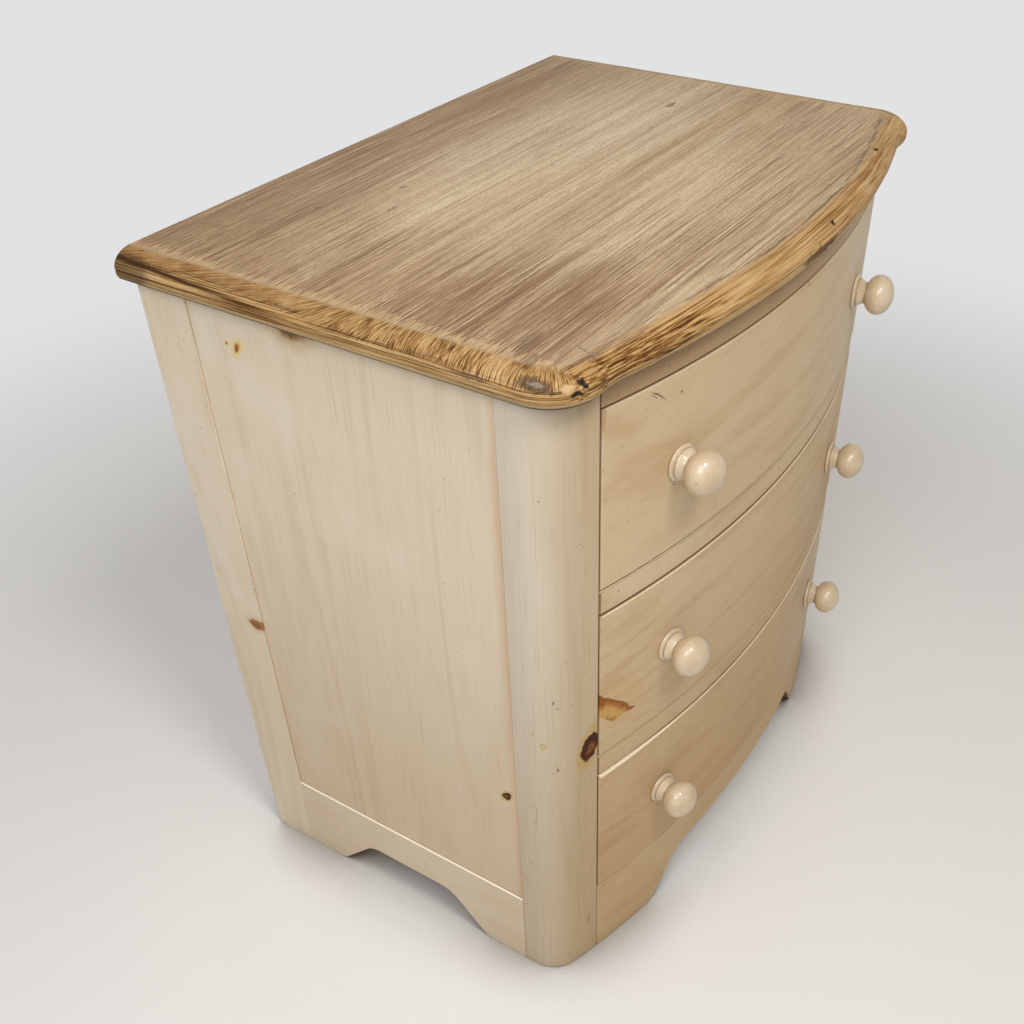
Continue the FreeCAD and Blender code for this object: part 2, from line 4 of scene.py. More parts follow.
import bmesh
import bpy
from mathutils import Matrix, Vector, noise


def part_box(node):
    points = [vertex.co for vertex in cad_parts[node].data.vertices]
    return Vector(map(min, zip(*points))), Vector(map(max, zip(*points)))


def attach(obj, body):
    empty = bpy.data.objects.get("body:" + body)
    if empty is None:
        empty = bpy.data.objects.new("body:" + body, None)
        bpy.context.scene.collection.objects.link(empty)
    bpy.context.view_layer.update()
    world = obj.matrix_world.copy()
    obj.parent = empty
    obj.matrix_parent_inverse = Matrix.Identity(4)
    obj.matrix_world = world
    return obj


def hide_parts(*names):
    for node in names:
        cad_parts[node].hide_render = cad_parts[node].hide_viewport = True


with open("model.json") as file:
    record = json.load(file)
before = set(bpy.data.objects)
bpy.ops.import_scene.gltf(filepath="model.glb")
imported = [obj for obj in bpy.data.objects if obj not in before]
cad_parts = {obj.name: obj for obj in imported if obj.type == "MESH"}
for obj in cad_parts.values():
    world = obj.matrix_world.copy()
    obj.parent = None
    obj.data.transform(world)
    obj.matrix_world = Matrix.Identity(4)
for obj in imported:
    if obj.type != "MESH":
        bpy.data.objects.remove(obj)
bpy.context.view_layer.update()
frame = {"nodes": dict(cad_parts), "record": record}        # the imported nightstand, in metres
nodes = frame["nodes"]
bodies = frame["record"]["behaviour"]["bodies"]
bodyOf = {node: body for body, names in bodies.items() for node in names}
slotOf = {node: nodes[node].data.materials[0].name for node in nodes}

mm = 0.001
scene = bpy.context.scene


# Node trees: a wire is one socket, and sums on wires add Math nodes

class Wire:
    def __init__(self, tree, socket=None):
        self.tree = tree
        self.socket = socket

    def make(self, kind, settings=None, sockets=None, output=0):    # any node, by its type
        node = self.tree.nodes.new(kind)
        for name, value in (settings or {}).items():
            if name == "stops":
                setStops(node.color_ramp, value)
            elif name == "curve":
                setCurve(node.mapping, value)
            else:
                setattr(node, name, value)
        for key, value in (sockets or {}).items():
            if isinstance(value, Wire):
                self.tree.links.new(value.socket, node.inputs[key])
            else:
                node.inputs[key].default_value = value
        return Wire(self.tree, node.outputs[output] if len(node.outputs) else None)

    def other(self, output):    # another output of the same node
        return Wire(self.tree, self.socket.node.outputs[output])

    def math(self, operation, *terms):
        return self.make("ShaderNodeMath", {"operation": operation}, dict(enumerate(terms)))

    def __add__(self, other):
        return self.math("ADD", self, other)

    def __radd__(self, other):
        return self.math("ADD", other, self)

    def __sub__(self, other):
        return self.math("SUBTRACT", self, other)

    def __rsub__(self, other):
        return self.math("SUBTRACT", other, self)

    def __mul__(self, other):
        return self.math("MULTIPLY", self, other)

    def __rmul__(self, other):
        return self.math("MULTIPLY", other, self)

    def __truediv__(self, other):
        return self.math("DIVIDE", self, other)

    def __rtruediv__(self, other):
        return self.math("DIVIDE", other, self)

    def __abs__(self):
        return self.math("ABSOLUTE", self)

    def vector(self, operation, *terms, output=0):
        return self.make("ShaderNodeVectorMath", {"operation": operation}, dict(enumerate(terms)), output)

    def stretch(self, scale):
        return self.vector("MULTIPLY", self, scale)

    def shift(self, step):
        return self.vector("ADD", self, step)

    def sway(self, colour, reach):    # moved by a noise colour, half the reach each way
        return self.shift(colour.shift((-0.5, -0.5, -0.5)).stretch(reach))

    def axes(self):    # its X, with Y and Z as other outputs
        return self.make("ShaderNodeSeparateXYZ", None, {0: self})

    def point(self, x=0.0, y=0.0, z=0.0):
        return self.make("ShaderNodeCombineXYZ", None, {0: x, 1: y, 2: z})

    def attribute(self, name):
        return self.make("ShaderNodeAttribute", {"attribute_name": name}, output="Fac")

    def wave(self, pitch):    # swings between 0 and 1
        turns = self * pitch
        return turns.math("SINE", turns) * 0.5 + 0.5

    def ramp(self, *stops):    # this wire picks the colour
        return self.make("ShaderNodeValToRGB", {"stops": stops}, {"Fac": self})

    def noise(self, detail=3.0, roughness=0.55, scale=1.0, distortion=0.0, output=0):
        return self.make("ShaderNodeTexNoise", None, {"Vector": self, "Scale": scale, "Detail": detail,
                         "Roughness": roughness, "Distortion": distortion}, output)

    def fade(self, low, high):    # 0 at low, 1 at high, smooth between
        return self.make("ShaderNodeMapRange", {"interpolation_type": "SMOOTHSTEP"},
                         {"Value": self, "From Min": low, "From Max": high})

    def mix(self, first, second, blend="MIX"):    # this wire is the factor
        return self.make("ShaderNodeMix", {"data_type": "RGBA", "blend_type": blend},
                         {0: self, 6: first, 7: second}, 2)


def setStops(ramp, stops):
    while len(ramp.elements) < len(stops):
        ramp.elements.new(1.0)
    for element, (place, colour) in zip(ramp.elements, stops):
        element.position = place
        element.color = colour


def setCurve(mapping, points):
    curve = mapping.curves[0]
    while len(curve.points) < len(points):
        curve.points.new(1.0, 1.0)
    for point, (across, up, handle) in zip(curve.points, points):
        point.location = (across, up)
        point.handle_type = handle
    mapping.update()


def paint(red, green, blue):    # a screen colour as the linear one that shaders take
    linear = []
    for value in (red, green, blue):
        part = value / 255
        linear.append(part / 12.92 if part <= 0.04045 else ((part + 0.055) / 1.055) ** 2.4)
    return (*linear, 1.0)


def startMaterial(name):
    material = bpy.data.materials.new(name)
    material.use_nodes = True
    material.node_tree.nodes.clear()
    start = Wire(material.node_tree)
    return material, start, start.make("ShaderNodeTexCoord", output="Object")


def endMaterial(material, start, surface):
    shader = start.make("ShaderNodeBsdfPrincipled", None, surface)
    start.make("ShaderNodeOutputMaterial", None, {"Surface": shader})
    return material


def bumped(height, distance, strength):
    return height.make("ShaderNodeBump", None, {"Strength": strength, "Distance": distance, "Height": height})


def alongGrain(along, slow, fast):    # noise scale that draws a pattern out along one axis
    return tuple(slow if axis == along else fast for axis in "xyz")


def spot(place, centre, radii, turn=(0, 0, 0)):    # distance from its centre, 1 on its rim
    local = place.make("ShaderNodeMapping", {"vector_type": "TEXTURE"},
                       {"Vector": place, "Location": tuple(v * mm for v in centre),
                        "Rotation": tuple(math.radians(v) for v in turn),
                        "Scale": tuple(v * mm for v in radii)})
    return local.vector("LENGTH", local, output="Value")


def layered(look, colour, coats, blend="MIX"):    # a coat is how much of it shows, and the name of its colour
    for share, tint in coats:
        colour = share.mix(colour, look[tint], blend)
    return colour


def marked(look, colour, place, marks, rim):    # spots of colour that fade out across the rim
    return layered(look, colour, [(spot(place, centre, radii, *turn).fade(*rim) * share, tint)
                                  for centre, radii, tint, share, *turn in marks])


# Limed pine: pale cream over faint growth rings, with knots, and with painted shade and light: warmer and
# darker towards the front and low down, darker on edges that do not face up, paler towards the right and on
# edges that face up

limedPine = {
    "cream": paint(219, 203, 178),
    "ring": paint(208, 187, 158),
    "fibre": paint(182, 156, 124),
    # pale clouds in the wood, and painted light towards the right
    "chalk": paint(227, 216, 198),
    # the next tint paints warm shade towards the front
    "frontShadeTint": paint(243, 232, 214),
    # the next tint paints shade, darker towards the bottom
    "dusk": paint(236, 228, 217),
    "rubbed": paint(166, 128, 84),
    "blush": paint(214, 172, 132),
    "honey": paint(196, 153, 84),
    "resin": paint(168, 108, 38),
    "rust": paint(136, 74, 14),
    # dirt in the joints, and painted shade on edges and in gaps
    "seam": paint(84, 56, 30),
    "mark": paint(48, 30, 16),
    # bare wood where edges are worn, and a painted highlight on eased edges that face up
    "bare": paint(240, 222, 190),
    "ledge": paint(255, 246, 226),
    "ringPitch": 95.0,
    "roughness": 0.52,
    "gloss": 0.16,
    "front": (-122 * mm, -153 * mm),    # where a tone begins, and where it is full; these tones are painted shade and light
    "seamFront": (-108 * mm, -135 * mm),
    "low": (440 * mm, 60 * mm),
    "rightLightRun": (0.0, 200 * mm),
}
knotKinds = {    # halo, ring, core, how much of halo and ring shows, run of the halo along Z, softness
    "dark": (paint(190, 152, 84), paint(62, 24, 4), paint(108, 52, 14), 0.75, 1.0, 1.25, 0.16),
    "amber": (paint(226, 196, 128), paint(188, 128, 46), paint(112, 58, 12), 0.8, 0.95, 1.2, 0.75),
    "shade": (paint(196, 166, 124), paint(148, 104, 56), paint(108, 68, 32), 0.6, 0.85, 1.2, 0.55),
    "russet": (paint(204, 174, 130), paint(160, 106, 54), paint(116, 66, 26), 0.6, 0.95, 1.2, 0.24),
    "faint": (paint(206, 190, 146), paint(176, 150, 100), paint(200, 182, 142), 0.5, 0.6, 1.6, 0.16),
}
coreStep = (0.16, 0.16, -0.14)    # from the middle of a knot to its core, in radii


def knotted(colour, place, centre, radii, kind, turn=(0, 0, 0)):
    halo, ring, core, haloShare, ringShare, run, soft = knotKinds[kind]
    fray = (place.noise(3.0, 0.65, 330.0) - 0.5) * min(0.6, max(radii) / 20)
    inside = tuple(middle + step * radius for middle, step, radius in zip(centre, coreStep, radii))
    distance = spot(place, centre, radii, turn) + fray
    inner = spot(place, inside, radii, turn) + fray * 0.8
    wide = spot(place, centre, (radii[0], radii[1], radii[2] * run), turn) + fray * 1.8
    colour = (wide.fade(1.8, 0.9) * haloShare).mix(colour, halo)
    colour = (distance.fade(1.1, 1.1 - soft) * ringShare).mix(colour, ring)
    colour = (inner.fade(0.53 + soft * 0.5, 0.5 - soft * 0.5) * ringShare * 0.85).mix(colour, core)
    return (inner.fade(0.34, 0.26) * inner.fade(0.14, 0.2) * 0.25 * (1 - soft)).mix(colour, halo)


plainTone = {    # a colour over the whole piece, then how much it has of each tone and of the rings; the tones paint shade low down and at the front, a highlight on faces that look up, and light towards the right
    "tint": paint(255, 255, 255), "dusk": 1.0, "sunk": 0.65, "grain": 1.0, "ledge": 0.0, "chalky": 0.0,
}


def limedPineMaterial(name, along, frontShade=0.0, knots=(), marks=(), patch=None, seam=0.5, glaze=0.0,
                      bare=0.4, **tones):
    look, tone = limedPine, {**plainTone, **tones}
    material, start, place = startMaterial(name)
    loose = place.sway(place.noise(2.0, 0.5, 110.0, output="Color"), (5.5 * mm, 5.5 * mm, 5.5 * mm))
    rings = place.stretch(alongGrain(along, 0.7, 8.0)).noise(2.0, 0.45).wave(look["ringPitch"])
    streak = place.stretch(alongGrain(along, 2.2, 60.0)).noise(4.0, 0.6)
    fibre = place.stretch(alongGrain(along, 14.0, 520.0)).noise(3.0, 0.6)
    cloud = place.noise(3.0, 0.6, 9.0)
    speck = place.noise(0.0, 0.5, 310.0).fade(0.84, 0.86)
    colour = layered(look, look["cream"], [
        (rings.fade(0.35, 1.0) * streak.fade(0.3, 0.75) * (0.7 * tone["grain"]), "ring"),
        (streak.fade(0.52, 0.78) * (0.45 * tone["grain"]), "ring"),
        (fibre.fade(0.52, 0.8) * 0.4, "fibre"),
        (cloud.fade(0.45, 0.75) * 0.5, "chalk"),
        (speck * 0.6, "rubbed")])
    axes = place.axes()
    # painted shade: warmer and darker towards the front
    front = axes.other("Y").fade(*look["front"]) * frontShade
    # painted shade: darker towards the bottom, and warmer and darker again low down at the front
    low = axes.other("Z").fade(*look["low"])
    colour = layered(look, colour, [
        (front, "frontShadeTint"), (low * tone["dusk"], "dusk"), (low * front * tone["sunk"], "frontShadeTint")], "MULTIPLY")
    colour = place.make("ShaderNodeMix", {"data_type": "RGBA", "blend_type": "MULTIPLY"},
                        {0: 1.0, 6: colour, 7: tone["tint"]}, 2)
    # painted light: paler towards the right
    if tone["chalky"]:
        colour = (axes.fade(*look["rightLightRun"]) * tone["chalky"]).mix(colour, look["chalk"])
    for knot in knots:
        colour = knotted(colour, loose, *knot)
    colour = marked(look, colour, loose, marks, (1.15, 0.75))
    if patch:
        spread = loose.axes()
        share = (spread + spread.other("Z") - patch["low"]) / (patch["high"] - patch["low"])
        within = share.fade(-0.08, 0.0) * share.fade(1.08, 1.0) * spread.fade(0.0, -20 * mm)
        within = within * spread.other("Z").fade(patch["floor"] - 1 * mm, patch["floor"])
        drawn = place.stretch((140.0, 140.0, 420.0)).noise(3.0, 0.6)
        flow = share + (drawn - 0.5) * 0.5 + spread.fade(*patch["end"]) * 0.35
        resin = flow.ramp((0.0, look["resin"]), (0.22, look["honey"]), (0.55, look["honey"]),
                          (0.76, look["resin"]), (0.95, look["rust"]))
        colour = (within * 0.95).mix(colour, resin)
    eased = start.attribute("eased")
    rub = place.noise(3.0, 0.6, 22.0)
    level = start.make("ShaderNodeNewGeometry", output="Normal").axes().other("Z")
    upward = level.fade(0.1, 0.4)
    # darker on eased edges that do not face up, more at the front: dirt in the joints with painted shade
    toward = axes.other("Y").fade(*look["seamFront"]) * 0.8 + 0.2
    coats = [(eased * rub.fade(0.5, 0.68) * 0.25, "rubbed"), (eased * (1 - upward) * toward * seam, "seam"),
             # pale on eased edges that face up: worn bare wood with a painted highlight
             (eased * upward * bare, "bare")]
    # painted shade: darker in the gaps just behind the bowed fronts, with some grime there, and on every face
    # that looks down
    if glaze:
        flat = start.point(axes, axes.other("Y"))
        behind = bow["radius"] - flat.vector("DISTANCE", flat, (0, bow["centre"], 0), output="Value")
        recess = behind.fade(1.1 * mm, 1.8 * mm) * behind.fade(8 * mm, 4 * mm)
        coats += [(recess * glaze, "seam"), (level.fade(-0.1, -0.4) * glaze, "seam")]
    # painted highlight on faces that look up
    if tone["ledge"]:
        coats.append((upward * tone["ledge"], "ledge"))
    coats.append((start.attribute("worn"), "bare"))
    height = fibre * 0.5 + rings * 0.25 + streak * 0.5 - speck
    return endMaterial(material, start, {
        "Base Color": layered(look, colour, coats),
        "Roughness": look["roughness"] - rings * 0.06 + cloud * 0.1,
        "Normal": bumped(height, 0.35 * mm, 0.6),
        "Specular IOR Level": look["gloss"],
    })


# Raw pine and plywood inside the case

rawPine = {
    "pale": paint(222, 196, 150),
    "ring": paint(196, 156, 104),
    "fibre": paint(168, 128, 84),
    "ringPitch": 120.0,
    "roughness": 0.68,
}


def rawPineMaterial(name, along):
    look = rawPine
    material, start, place = startMaterial(name)
    rings = place.stretch(alongGrain(along, 0.9, 11.0)).noise(2.0, 0.5).wave(look["ringPitch"])
    fibre = place.stretch(alongGrain(along, 16.0, 480.0)).noise(3.0, 0.6)
    cloud = place.noise(3.0, 0.6, 11.0)
    colour = layered(look, look["pale"], [(rings.fade(0.3, 1.0) * 0.7, "ring"),
                                          (fibre.fade(0.5, 0.85) * 0.5, "fibre"),
                                          (cloud.fade(0.5, 0.8) * 0.3, "fibre")])
    return endMaterial(material, start, {
        "Base Color": colour,
        "Roughness": look["roughness"] + fibre * 0.12,
        "Normal": bumped(fibre * 0.6 + rings * 0.3, 0.3 * mm, 0.6),
    })


plywood = {
    "pale": paint(214, 184, 138),
    "dark": paint(180, 140, 92),
    "pore": paint(128, 92, 58),
    "ply": 1.6 * mm,
    "ringPitch": 70.0,
    "roughness": 0.62,
}


def plywoodMaterial(name, along, across):    # across: the axis through the sheet's thickness
    look = plywood
    material, start, place = startMaterial(name)
    slow = place.stretch(alongGrain(along, 0.8, 5.0)).noise(3.0, 0.5, distortion=0.6)
    rings = slow.wave(look["ringPitch"])
    pore = place.stretch(alongGrain(along, 30.0, 900.0)).noise(2.0, 0.6)
    plies = place.axes().other(across.upper()) / look["ply"]
    layer = plies.math("PINGPONG", plies, 1.0).fade(0.4, 0.6)
    flat = abs(start.make("ShaderNodeNewGeometry", output="Normal").axes().other(across.upper()))
    colour = layered(look, look["pale"], [(rings.fade(0.2, 1.0) * 0.6, "dark"),
                                          (pore.fade(0.58, 0.72) * 0.6, "pore")])
    colour = flat.fade(0.7, 0.3).mix(colour, layer.mix(look["pale"], look["pore"]))
    return endMaterial(material, start, {
        "Base Color": colour,
        "Roughness": look["roughness"] + pore * 0.1,
        "Normal": bumped(pore * -0.8 + rings * 0.2, 0.25 * mm, 0.6),
    })


# Stained top: brushed grain from end to end, golden frayed edges

stainedTop = {
    "light": paint(232, 211, 179),
    "mid": paint(187, 158, 122),
    "dusk": paint(134, 102, 75),
    "line": paint(98, 70, 46),
    "pale": paint(232, 210, 175),
    "gold": paint(187, 149, 97),
    "amber": paint(132, 88, 39),
    "straw": paint(213, 182, 133),
    "umber": paint(54, 28, 5),
    "bead": paint(198, 176, 134),
    "black": paint(22, 16, 12),
    "ash": paint(164, 154, 144),
    "lilac": paint(82, 62, 50),
    "roughness": 0.5,
    "gloss": 0.13,
    "halfWidth": 283 * mm,
    "surface": 600 * mm,
    "leftRun": (-80 * mm, -270 * mm),    # where a tone begins, and where it is full
    "backRun": (50 * mm, 200 * mm),
}
topZones = {    # centre, radii, and a turn where there is one
    "light": ((20, 25, 600), (265, 142, 300), (0, 0, 8)),
    "dull": ((-215, -85, 600), (95, 80, 60), (0, 0, -12)),
    "scorched": ((-215, -168, 592), (70, 40, 30)),
}
topMarks = [    # centre, radii, colour, share, and a turn where there is one
    ((-236.8, -146.4, 598.7), (10.5, 0.5, 4), "black", 0.85, (0, 0, 69)),
    ((-246, -112, 600), (17, 6, 6), "lilac", 0.3, (0, 0, 12)),
    ((-262, -124, 599), (10, 5, 6), "lilac", 0.35, (0, 0, 20)),
    ((-277.5, -137.5, 594.6), (6.5, 15, 3.6), "lilac", 0.75, (0, 0, -10)),
    ((-277, -138, 595.0), (2.4, 7, 1.1), "ash", 0.5, (0, 0, -10)),
    ((-268, -152.5, 592.6), (5, 5, 2.2), "straw", 0.7, (0, 0, 40)),
    ((-281, 192, 590), (9, 20, 13), "umber", 0.6),
    ((-260.3, -157.2, 595), (2.6, 3.2, 3.0), "black", 0.97, (0, 0, 20)),
    ((-258.6, -158.4, 590.5), (2.0, 3.0, 3.0), "black", 0.95, (0, 0, 20)),
    ((-264.5, -157.7, 589.0), (6, 4, 1.6), "black", 0.97, (0, 0, 30)),
    ((-274, -144, 591.4), (4, 10, 1.4), "umber", 0.85, (0, 0, 28)),
    ((-282.5, -95, 590.8), (3, 14, 1.6), "lilac", 0.6),
    ((173.1, -164.9, 599.4), (3.0, 2.5, 3), "black", 0.95),
    ((24.7, -190.4, 595.7), (2.1, 2.4, 2.1), "black", 0.95),
    ((-4, -194.5, 586), (30, 5, 3.2), "umber", 0.75),
    ((-185, -152, 600), (75, 11, 8), "pale", 0.24, (0, 0, -7)),
    ((-150.9, 135.6, 600), (5, 0.8, 2), "umber", 0.6, (0, 0, 4)),
    ((-86.6, 108.2, 600), (4, 0.9, 2), "black", 0.7, (0, 0, -30)),
    ((-124.1, 88.2, 600), (6, 0.7, 2), "umber", 0.6, (0, 0, 3)),
    ((188.6, 29, 600), (8, 2.4, 2), "line", 0.7),
]


def goldenRamp(wire, *places):    # umber, amber, gold and straw at these places
    return wire.ramp(*zip(places, [stainedTop[tint] for tint in ("umber", "amber", "gold", "straw")]))


def stainedTopMaterial(name):
    look = stainedTop
    material, start, place = startMaterial(name)
    across = place.axes()
    depth, height = across.other("Y"), across.other("Z")
    roll, rim, ends = [start.attribute(label) for label in ("roll", "rim", "ends")]

    # the flat: light in the middle, dusky round it, under fine brushed lines
    drift = place.stretch((2.5, 8.0, 8.0)).noise(1.0, 0.5, output="Color")
    grain = place.sway(drift, (0.0, 6 * mm, 6 * mm))
    board = grain.stretch((1.2, 16.0, 16.0)).noise(2.0, 0.5)
    band = grain.stretch((2.2, 110.0, 110.0)).noise(3.0, 0.6)
    strand = grain.stretch((3.5, 330.0, 330.0)).noise(2.0, 0.5)
    fine = grain.stretch((9.0, 880.0, 880.0)).noise(3.0, 0.62)
    hair = grain.stretch((60.0, 1300.0, 1300.0)).noise(2.0, 0.5)
    grit = place.stretch((260.0, 620.0, 620.0)).noise(2.0, 0.6)
    cloud = place.noise(3.0, 0.6, 7.0)
    middle = spot(place, *topZones["light"]) + (cloud - 0.5) * 0.8
    dusky = middle.fade(0.5, 1.15)
    zone = spot(place, *topZones["dull"])
    strong = dusky * 0.35 + zone.fade(2.6, 0.8) * 0.25 + 0.3
    leftward = across.fade(*look["leftRun"])
    stain = grain.stretch((10.0, 55.0, 55.0)).noise(3.0, 0.6)
    colour = layered(look, look["mid"], [
        ((board * 0.6 + band * 0.4).fade(0.36, 0.64), "light"),
        (dusky * 0.65 + leftward * 0.35, "mid"),
        (band.fade(0.5, 0.34) * (strong * 0.25 + leftward * 0.22), "dusk"),
        (zone.fade(1.2, 0.4) * 0.32, "dusk"),
        (depth.fade(*look["backRun"]) * 0.44, "dusk"),
        (strand.fade(0.5, 0.34) * (strong * 0.38), "dusk"),
        (fine.fade(0.5, 0.36) * strong * 0.95, "line"),
        (fine.fade(0.55, 0.68) * (strong * 0.5 + 0.4), "pale"),
        (hair.fade(0.52, 0.3) * 0.4, "dusk"),
        (grit.fade(0.52, 0.34) * 0.3, "dusk"),
        (zone.fade(1.6, 0.4) * stain.fade(0.42, 0.62) * 0.4, "dusk"),
        (leftward * hair.fade(0.5, 0.36) * 0.35, "line")])

    # the frayed border beside each end of the grain
    inward = look["halfWidth"] - abs(across)
    tufts = place.stretch((90.0, 800.0, 0.0)).noise(3.0, 0.6)
    frayed = (inward - (tufts - 0.42) * 0.05 - (cloud - 0.5) * 0.02).fade(21 * mm, 16 * mm)
    fringe = tufts.ramp((0.36, look["dusk"]), (0.49, look["mid"]), (0.63, look["straw"]))
    colour = (frayed * 0.85).mix(colour, fringe)

    # the ends: strokes across the upper roll, layers along the lower one
    ragged = place.stretch((24.0, 70.0, 70.0)).noise(3.0, 0.6)
    slant = depth.fade(-0.06, 0.15) * 0.12 * roll
    cross = start.point((rim + slant) * 1700.0, roll * 4.0, depth * 3.0).noise(4.0, 0.68)
    layers = start.point(rim * 11.0, roll * 48.0, 4.0).noise(5.0, 0.7)
    upper = goldenRamp(cross - (ragged - 0.5) * 0.25 - 0.03, 0.31, 0.41, 0.5, 0.62)
    upper = (depth.fade(-0.06, 0.12) * 0.3).mix(upper, look["amber"])
    lower = goldenRamp(layers, 0.39, 0.46, 0.52, 0.64)
    divide = 0.4 + (cloud - 0.5) * 0.3 - depth.fade(-0.05, 0.15) * 0.14
    below = roll - divide + (cross - 0.5) * 0.2
    endColour = below.fade(-0.02, 0.03).mix(upper, lower)
    split = height - look["surface"] + 4 * mm + (0.2 - depth) * 0.037
    split = abs(split + (cloud - 0.5) * 4 * mm).fade(1.5 * mm, 0.5 * mm) * depth.fade(0.04, 0.13)
    endColour = layered(look, endColour, [
        (abs(below).fade(0.1, 0.01) * cross.fade(0.53, 0.4) * 0.8, "umber"), (split * 0.85, "umber")])

    # the front edge: golden, streaked along the grain, with a broken dark line where the flat ends
    centre = (0, top["crown"] + bowRadius(), 0)
    level = start.point(across, depth)
    reach = level.vector("DISTANCE", level, centre, output="Value")
    long = start.point(across, depth * 0.35 - reach * 0.65, height)
    long = long.stretch((14.0, 640.0, 820.0)).noise(5.0, 0.7)
    scorched = spot(place, *topZones["scorched"]).fade(1.5, 0.4)
    streaks = (long - 0.5) * (1 - across.fade(-0.19, -0.11) * 0.4) + 0.47 - scorched * 0.08
    frontColour = goldenRamp(streaks, 0.28, 0.37, 0.46, 0.6)
    rusty = roll.fade(0.03, 0.1) * roll.fade(0.42, 0.22) * across.fade(-0.12, -0.03) * across.fade(0.24, 0.16)
    frontColour = (rusty * long.fade(0.58, 0.44) * 0.6).mix(frontColour, look["amber"])
    border = abs(reach - bowRadius() + top["rollIn"] + (ragged - 0.5) * 12 * mm)
    border = border.fade(1.9 * mm, 0.4 * mm) * long.fade(0.56, 0.44) * abs(across).fade(0.25, 0.235)
    edge = ends.fade(0.35, 0.8).mix(frontColour, endColour)
    # a black band along the underside of the roll: painted shadow beneath the top's edge
    edge = layered(look, edge, [((roll + (ragged - 0.5) * 0.06).fade(0.70, 0.74) * 0.6, "bead"),
                                (roll.fade(0.79, 0.84) * 0.9, "black")])
    colour = (roll + (tufts - 0.5) * 0.1).fade(0.0, 0.09).mix(colour, edge)
    colour = (border * 0.85).mix(colour, look["line"])
    loose = place.sway(place.noise(3.0, 0.65, 380.0, output="Color"), (5 * mm, 5 * mm, 5 * mm))
    relief = fine * 0.5 + strand * 0.4 + hair * 0.25
    relief = relief + roll.fade(0.0, 0.2) * (cross * ends + long * (1 - ends))
    return endMaterial(material, start, {
        "Base Color": marked(look, colour, loose, topMarks, (1.25, 0.7)),
        "Roughness": look["roughness"] + fine * 0.2,
        "Specular IOR Level": look["gloss"],
        "Normal": bumped(relief, 0.8 * mm, 0.6),
    })


# Knob lacquer and zinc-plated steel

knobLacquer = {
    "ivory": paint(212, 192, 162),
    "deep": paint(198, 175, 142),
    "glaze": paint(120, 84, 50),
    "roughness": 0.42,
    "coat": 0.6,
    "coatRoughness": 0.05,
}


def knobLacquerMaterial(name):
    look = knobLacquer
    material, start, place = startMaterial(name)
    turned = start.attribute("turned")
    cloud = place.noise(3.0, 0.6, 70.0)
    speck = place.noise(2.0, 0.5, 420.0)
    groove = (turned.fade(0.05, 0.0) + turned.fade(0.10, 0.13) * turned.fade(0.17, 0.14)
              + turned.fade(0.27, 0.33) * turned.fade(0.39, 0.34))
    return endMaterial(material, start, {
        "Base Color": layered(look, look["deep"], [
            (cloud.fade(0.35, 0.7), "ivory"), (speck.fade(0.71, 0.75) * 0.7, "glaze"),
            (groove.math("MINIMUM", groove, 1.0) * (cloud * 0.6 + 0.25), "glaze")]),
        "Roughness": look["roughness"] + cloud * 0.12,
        "Coat Weight": look["coat"],
        "Coat Roughness": look["coatRoughness"],
        "Normal": bumped(cloud + speck * 0.3, 0.2 * mm, 0.5),
    })


steel = {"bright": paint(186, 180, 168), "dull": paint(128, 116, 98), "roughness": 0.36}


def steelMaterial(name):
    look = steel
    material, start, place = startMaterial(name)
    cloud = place.noise(3.0, 0.6, 400.0)
    return endMaterial(material, start, {
        "Base Color": cloud.fade(0.35, 0.7).mix(look["dull"], look["bright"]),
        "Metallic": 1.0,
        "Roughness": look["roughness"] + cloud * 0.2,
        "Normal": bumped(cloud, 0.05 * mm, 0.4),
    })


# Pieces: a finished mesh that stands for CAD nodes and rides on their body

def keepPiece(name, mesh, replaced, material):
    piece = bpy.data.objects.new(name, mesh)
    scene.collection.objects.link(piece)
    mesh.materials.clear()
    mesh.materials.append(material)
    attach(piece, bodyOf[replaced[0]])
    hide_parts(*replaced)


def plainMesh(name, holder):    # what a holder's modifiers make of it, without the holder
    scene.collection.objects.link(holder)
    depsgraph = bpy.context.evaluated_depsgraph_get()
    mesh = bpy.data.meshes.new_from_object(holder.evaluated_get(depsgraph), preserve_all_data_layers=True,
                                           depsgraph=depsgraph)
    holder.modifiers.clear()
    bpy.data.objects.remove(holder)
    mesh.name = name
    return mesh


def settled(name, mesh):    # normals weighted by area, so that flat faces stay flat beside eased edges
    holder = bpy.data.objects.new(name, mesh)
    weighted = holder.modifiers.new("weighted", "WEIGHTED_NORMAL")
    weighted.keep_sharp = False
    return plainMesh(name, holder)


easing = {"merge": 1e-6, "flat": 0.08, "sharp": 30.0, "shortest": 1.0 * mm, "steps": 2}    # angles in degrees
bow = {    # the drawer fronts: their curve, the round of the CAD, and the edges that they get here
    "radius": 781.8 * mm, "centre": 595.54 * mm, "round": 1.8 * mm, "slack": 1.06,
    "close": 0.4 * mm, "upright": 0.02, "forward": -0.8, "upward": 0.05,
    "crisp": 0.6 * mm, "under": 1.2 * mm, "worn": "bottom_drawer_front", "deepest": 3.0 * mm, "slope": 0.024,
    "pale": {"bottom_drawer_front": 0.95, "middle_drawer_front": 0.7, "top_drawer_front": 0.2},
}


def mergedShape(mesh):    # a copy to edit, with its doubles merged
    shape = bmesh.new()
    shape.from_mesh(mesh)
    bmesh.ops.remove_doubles(shape, verts=shape.verts, dist=easing["merge"])
    return shape


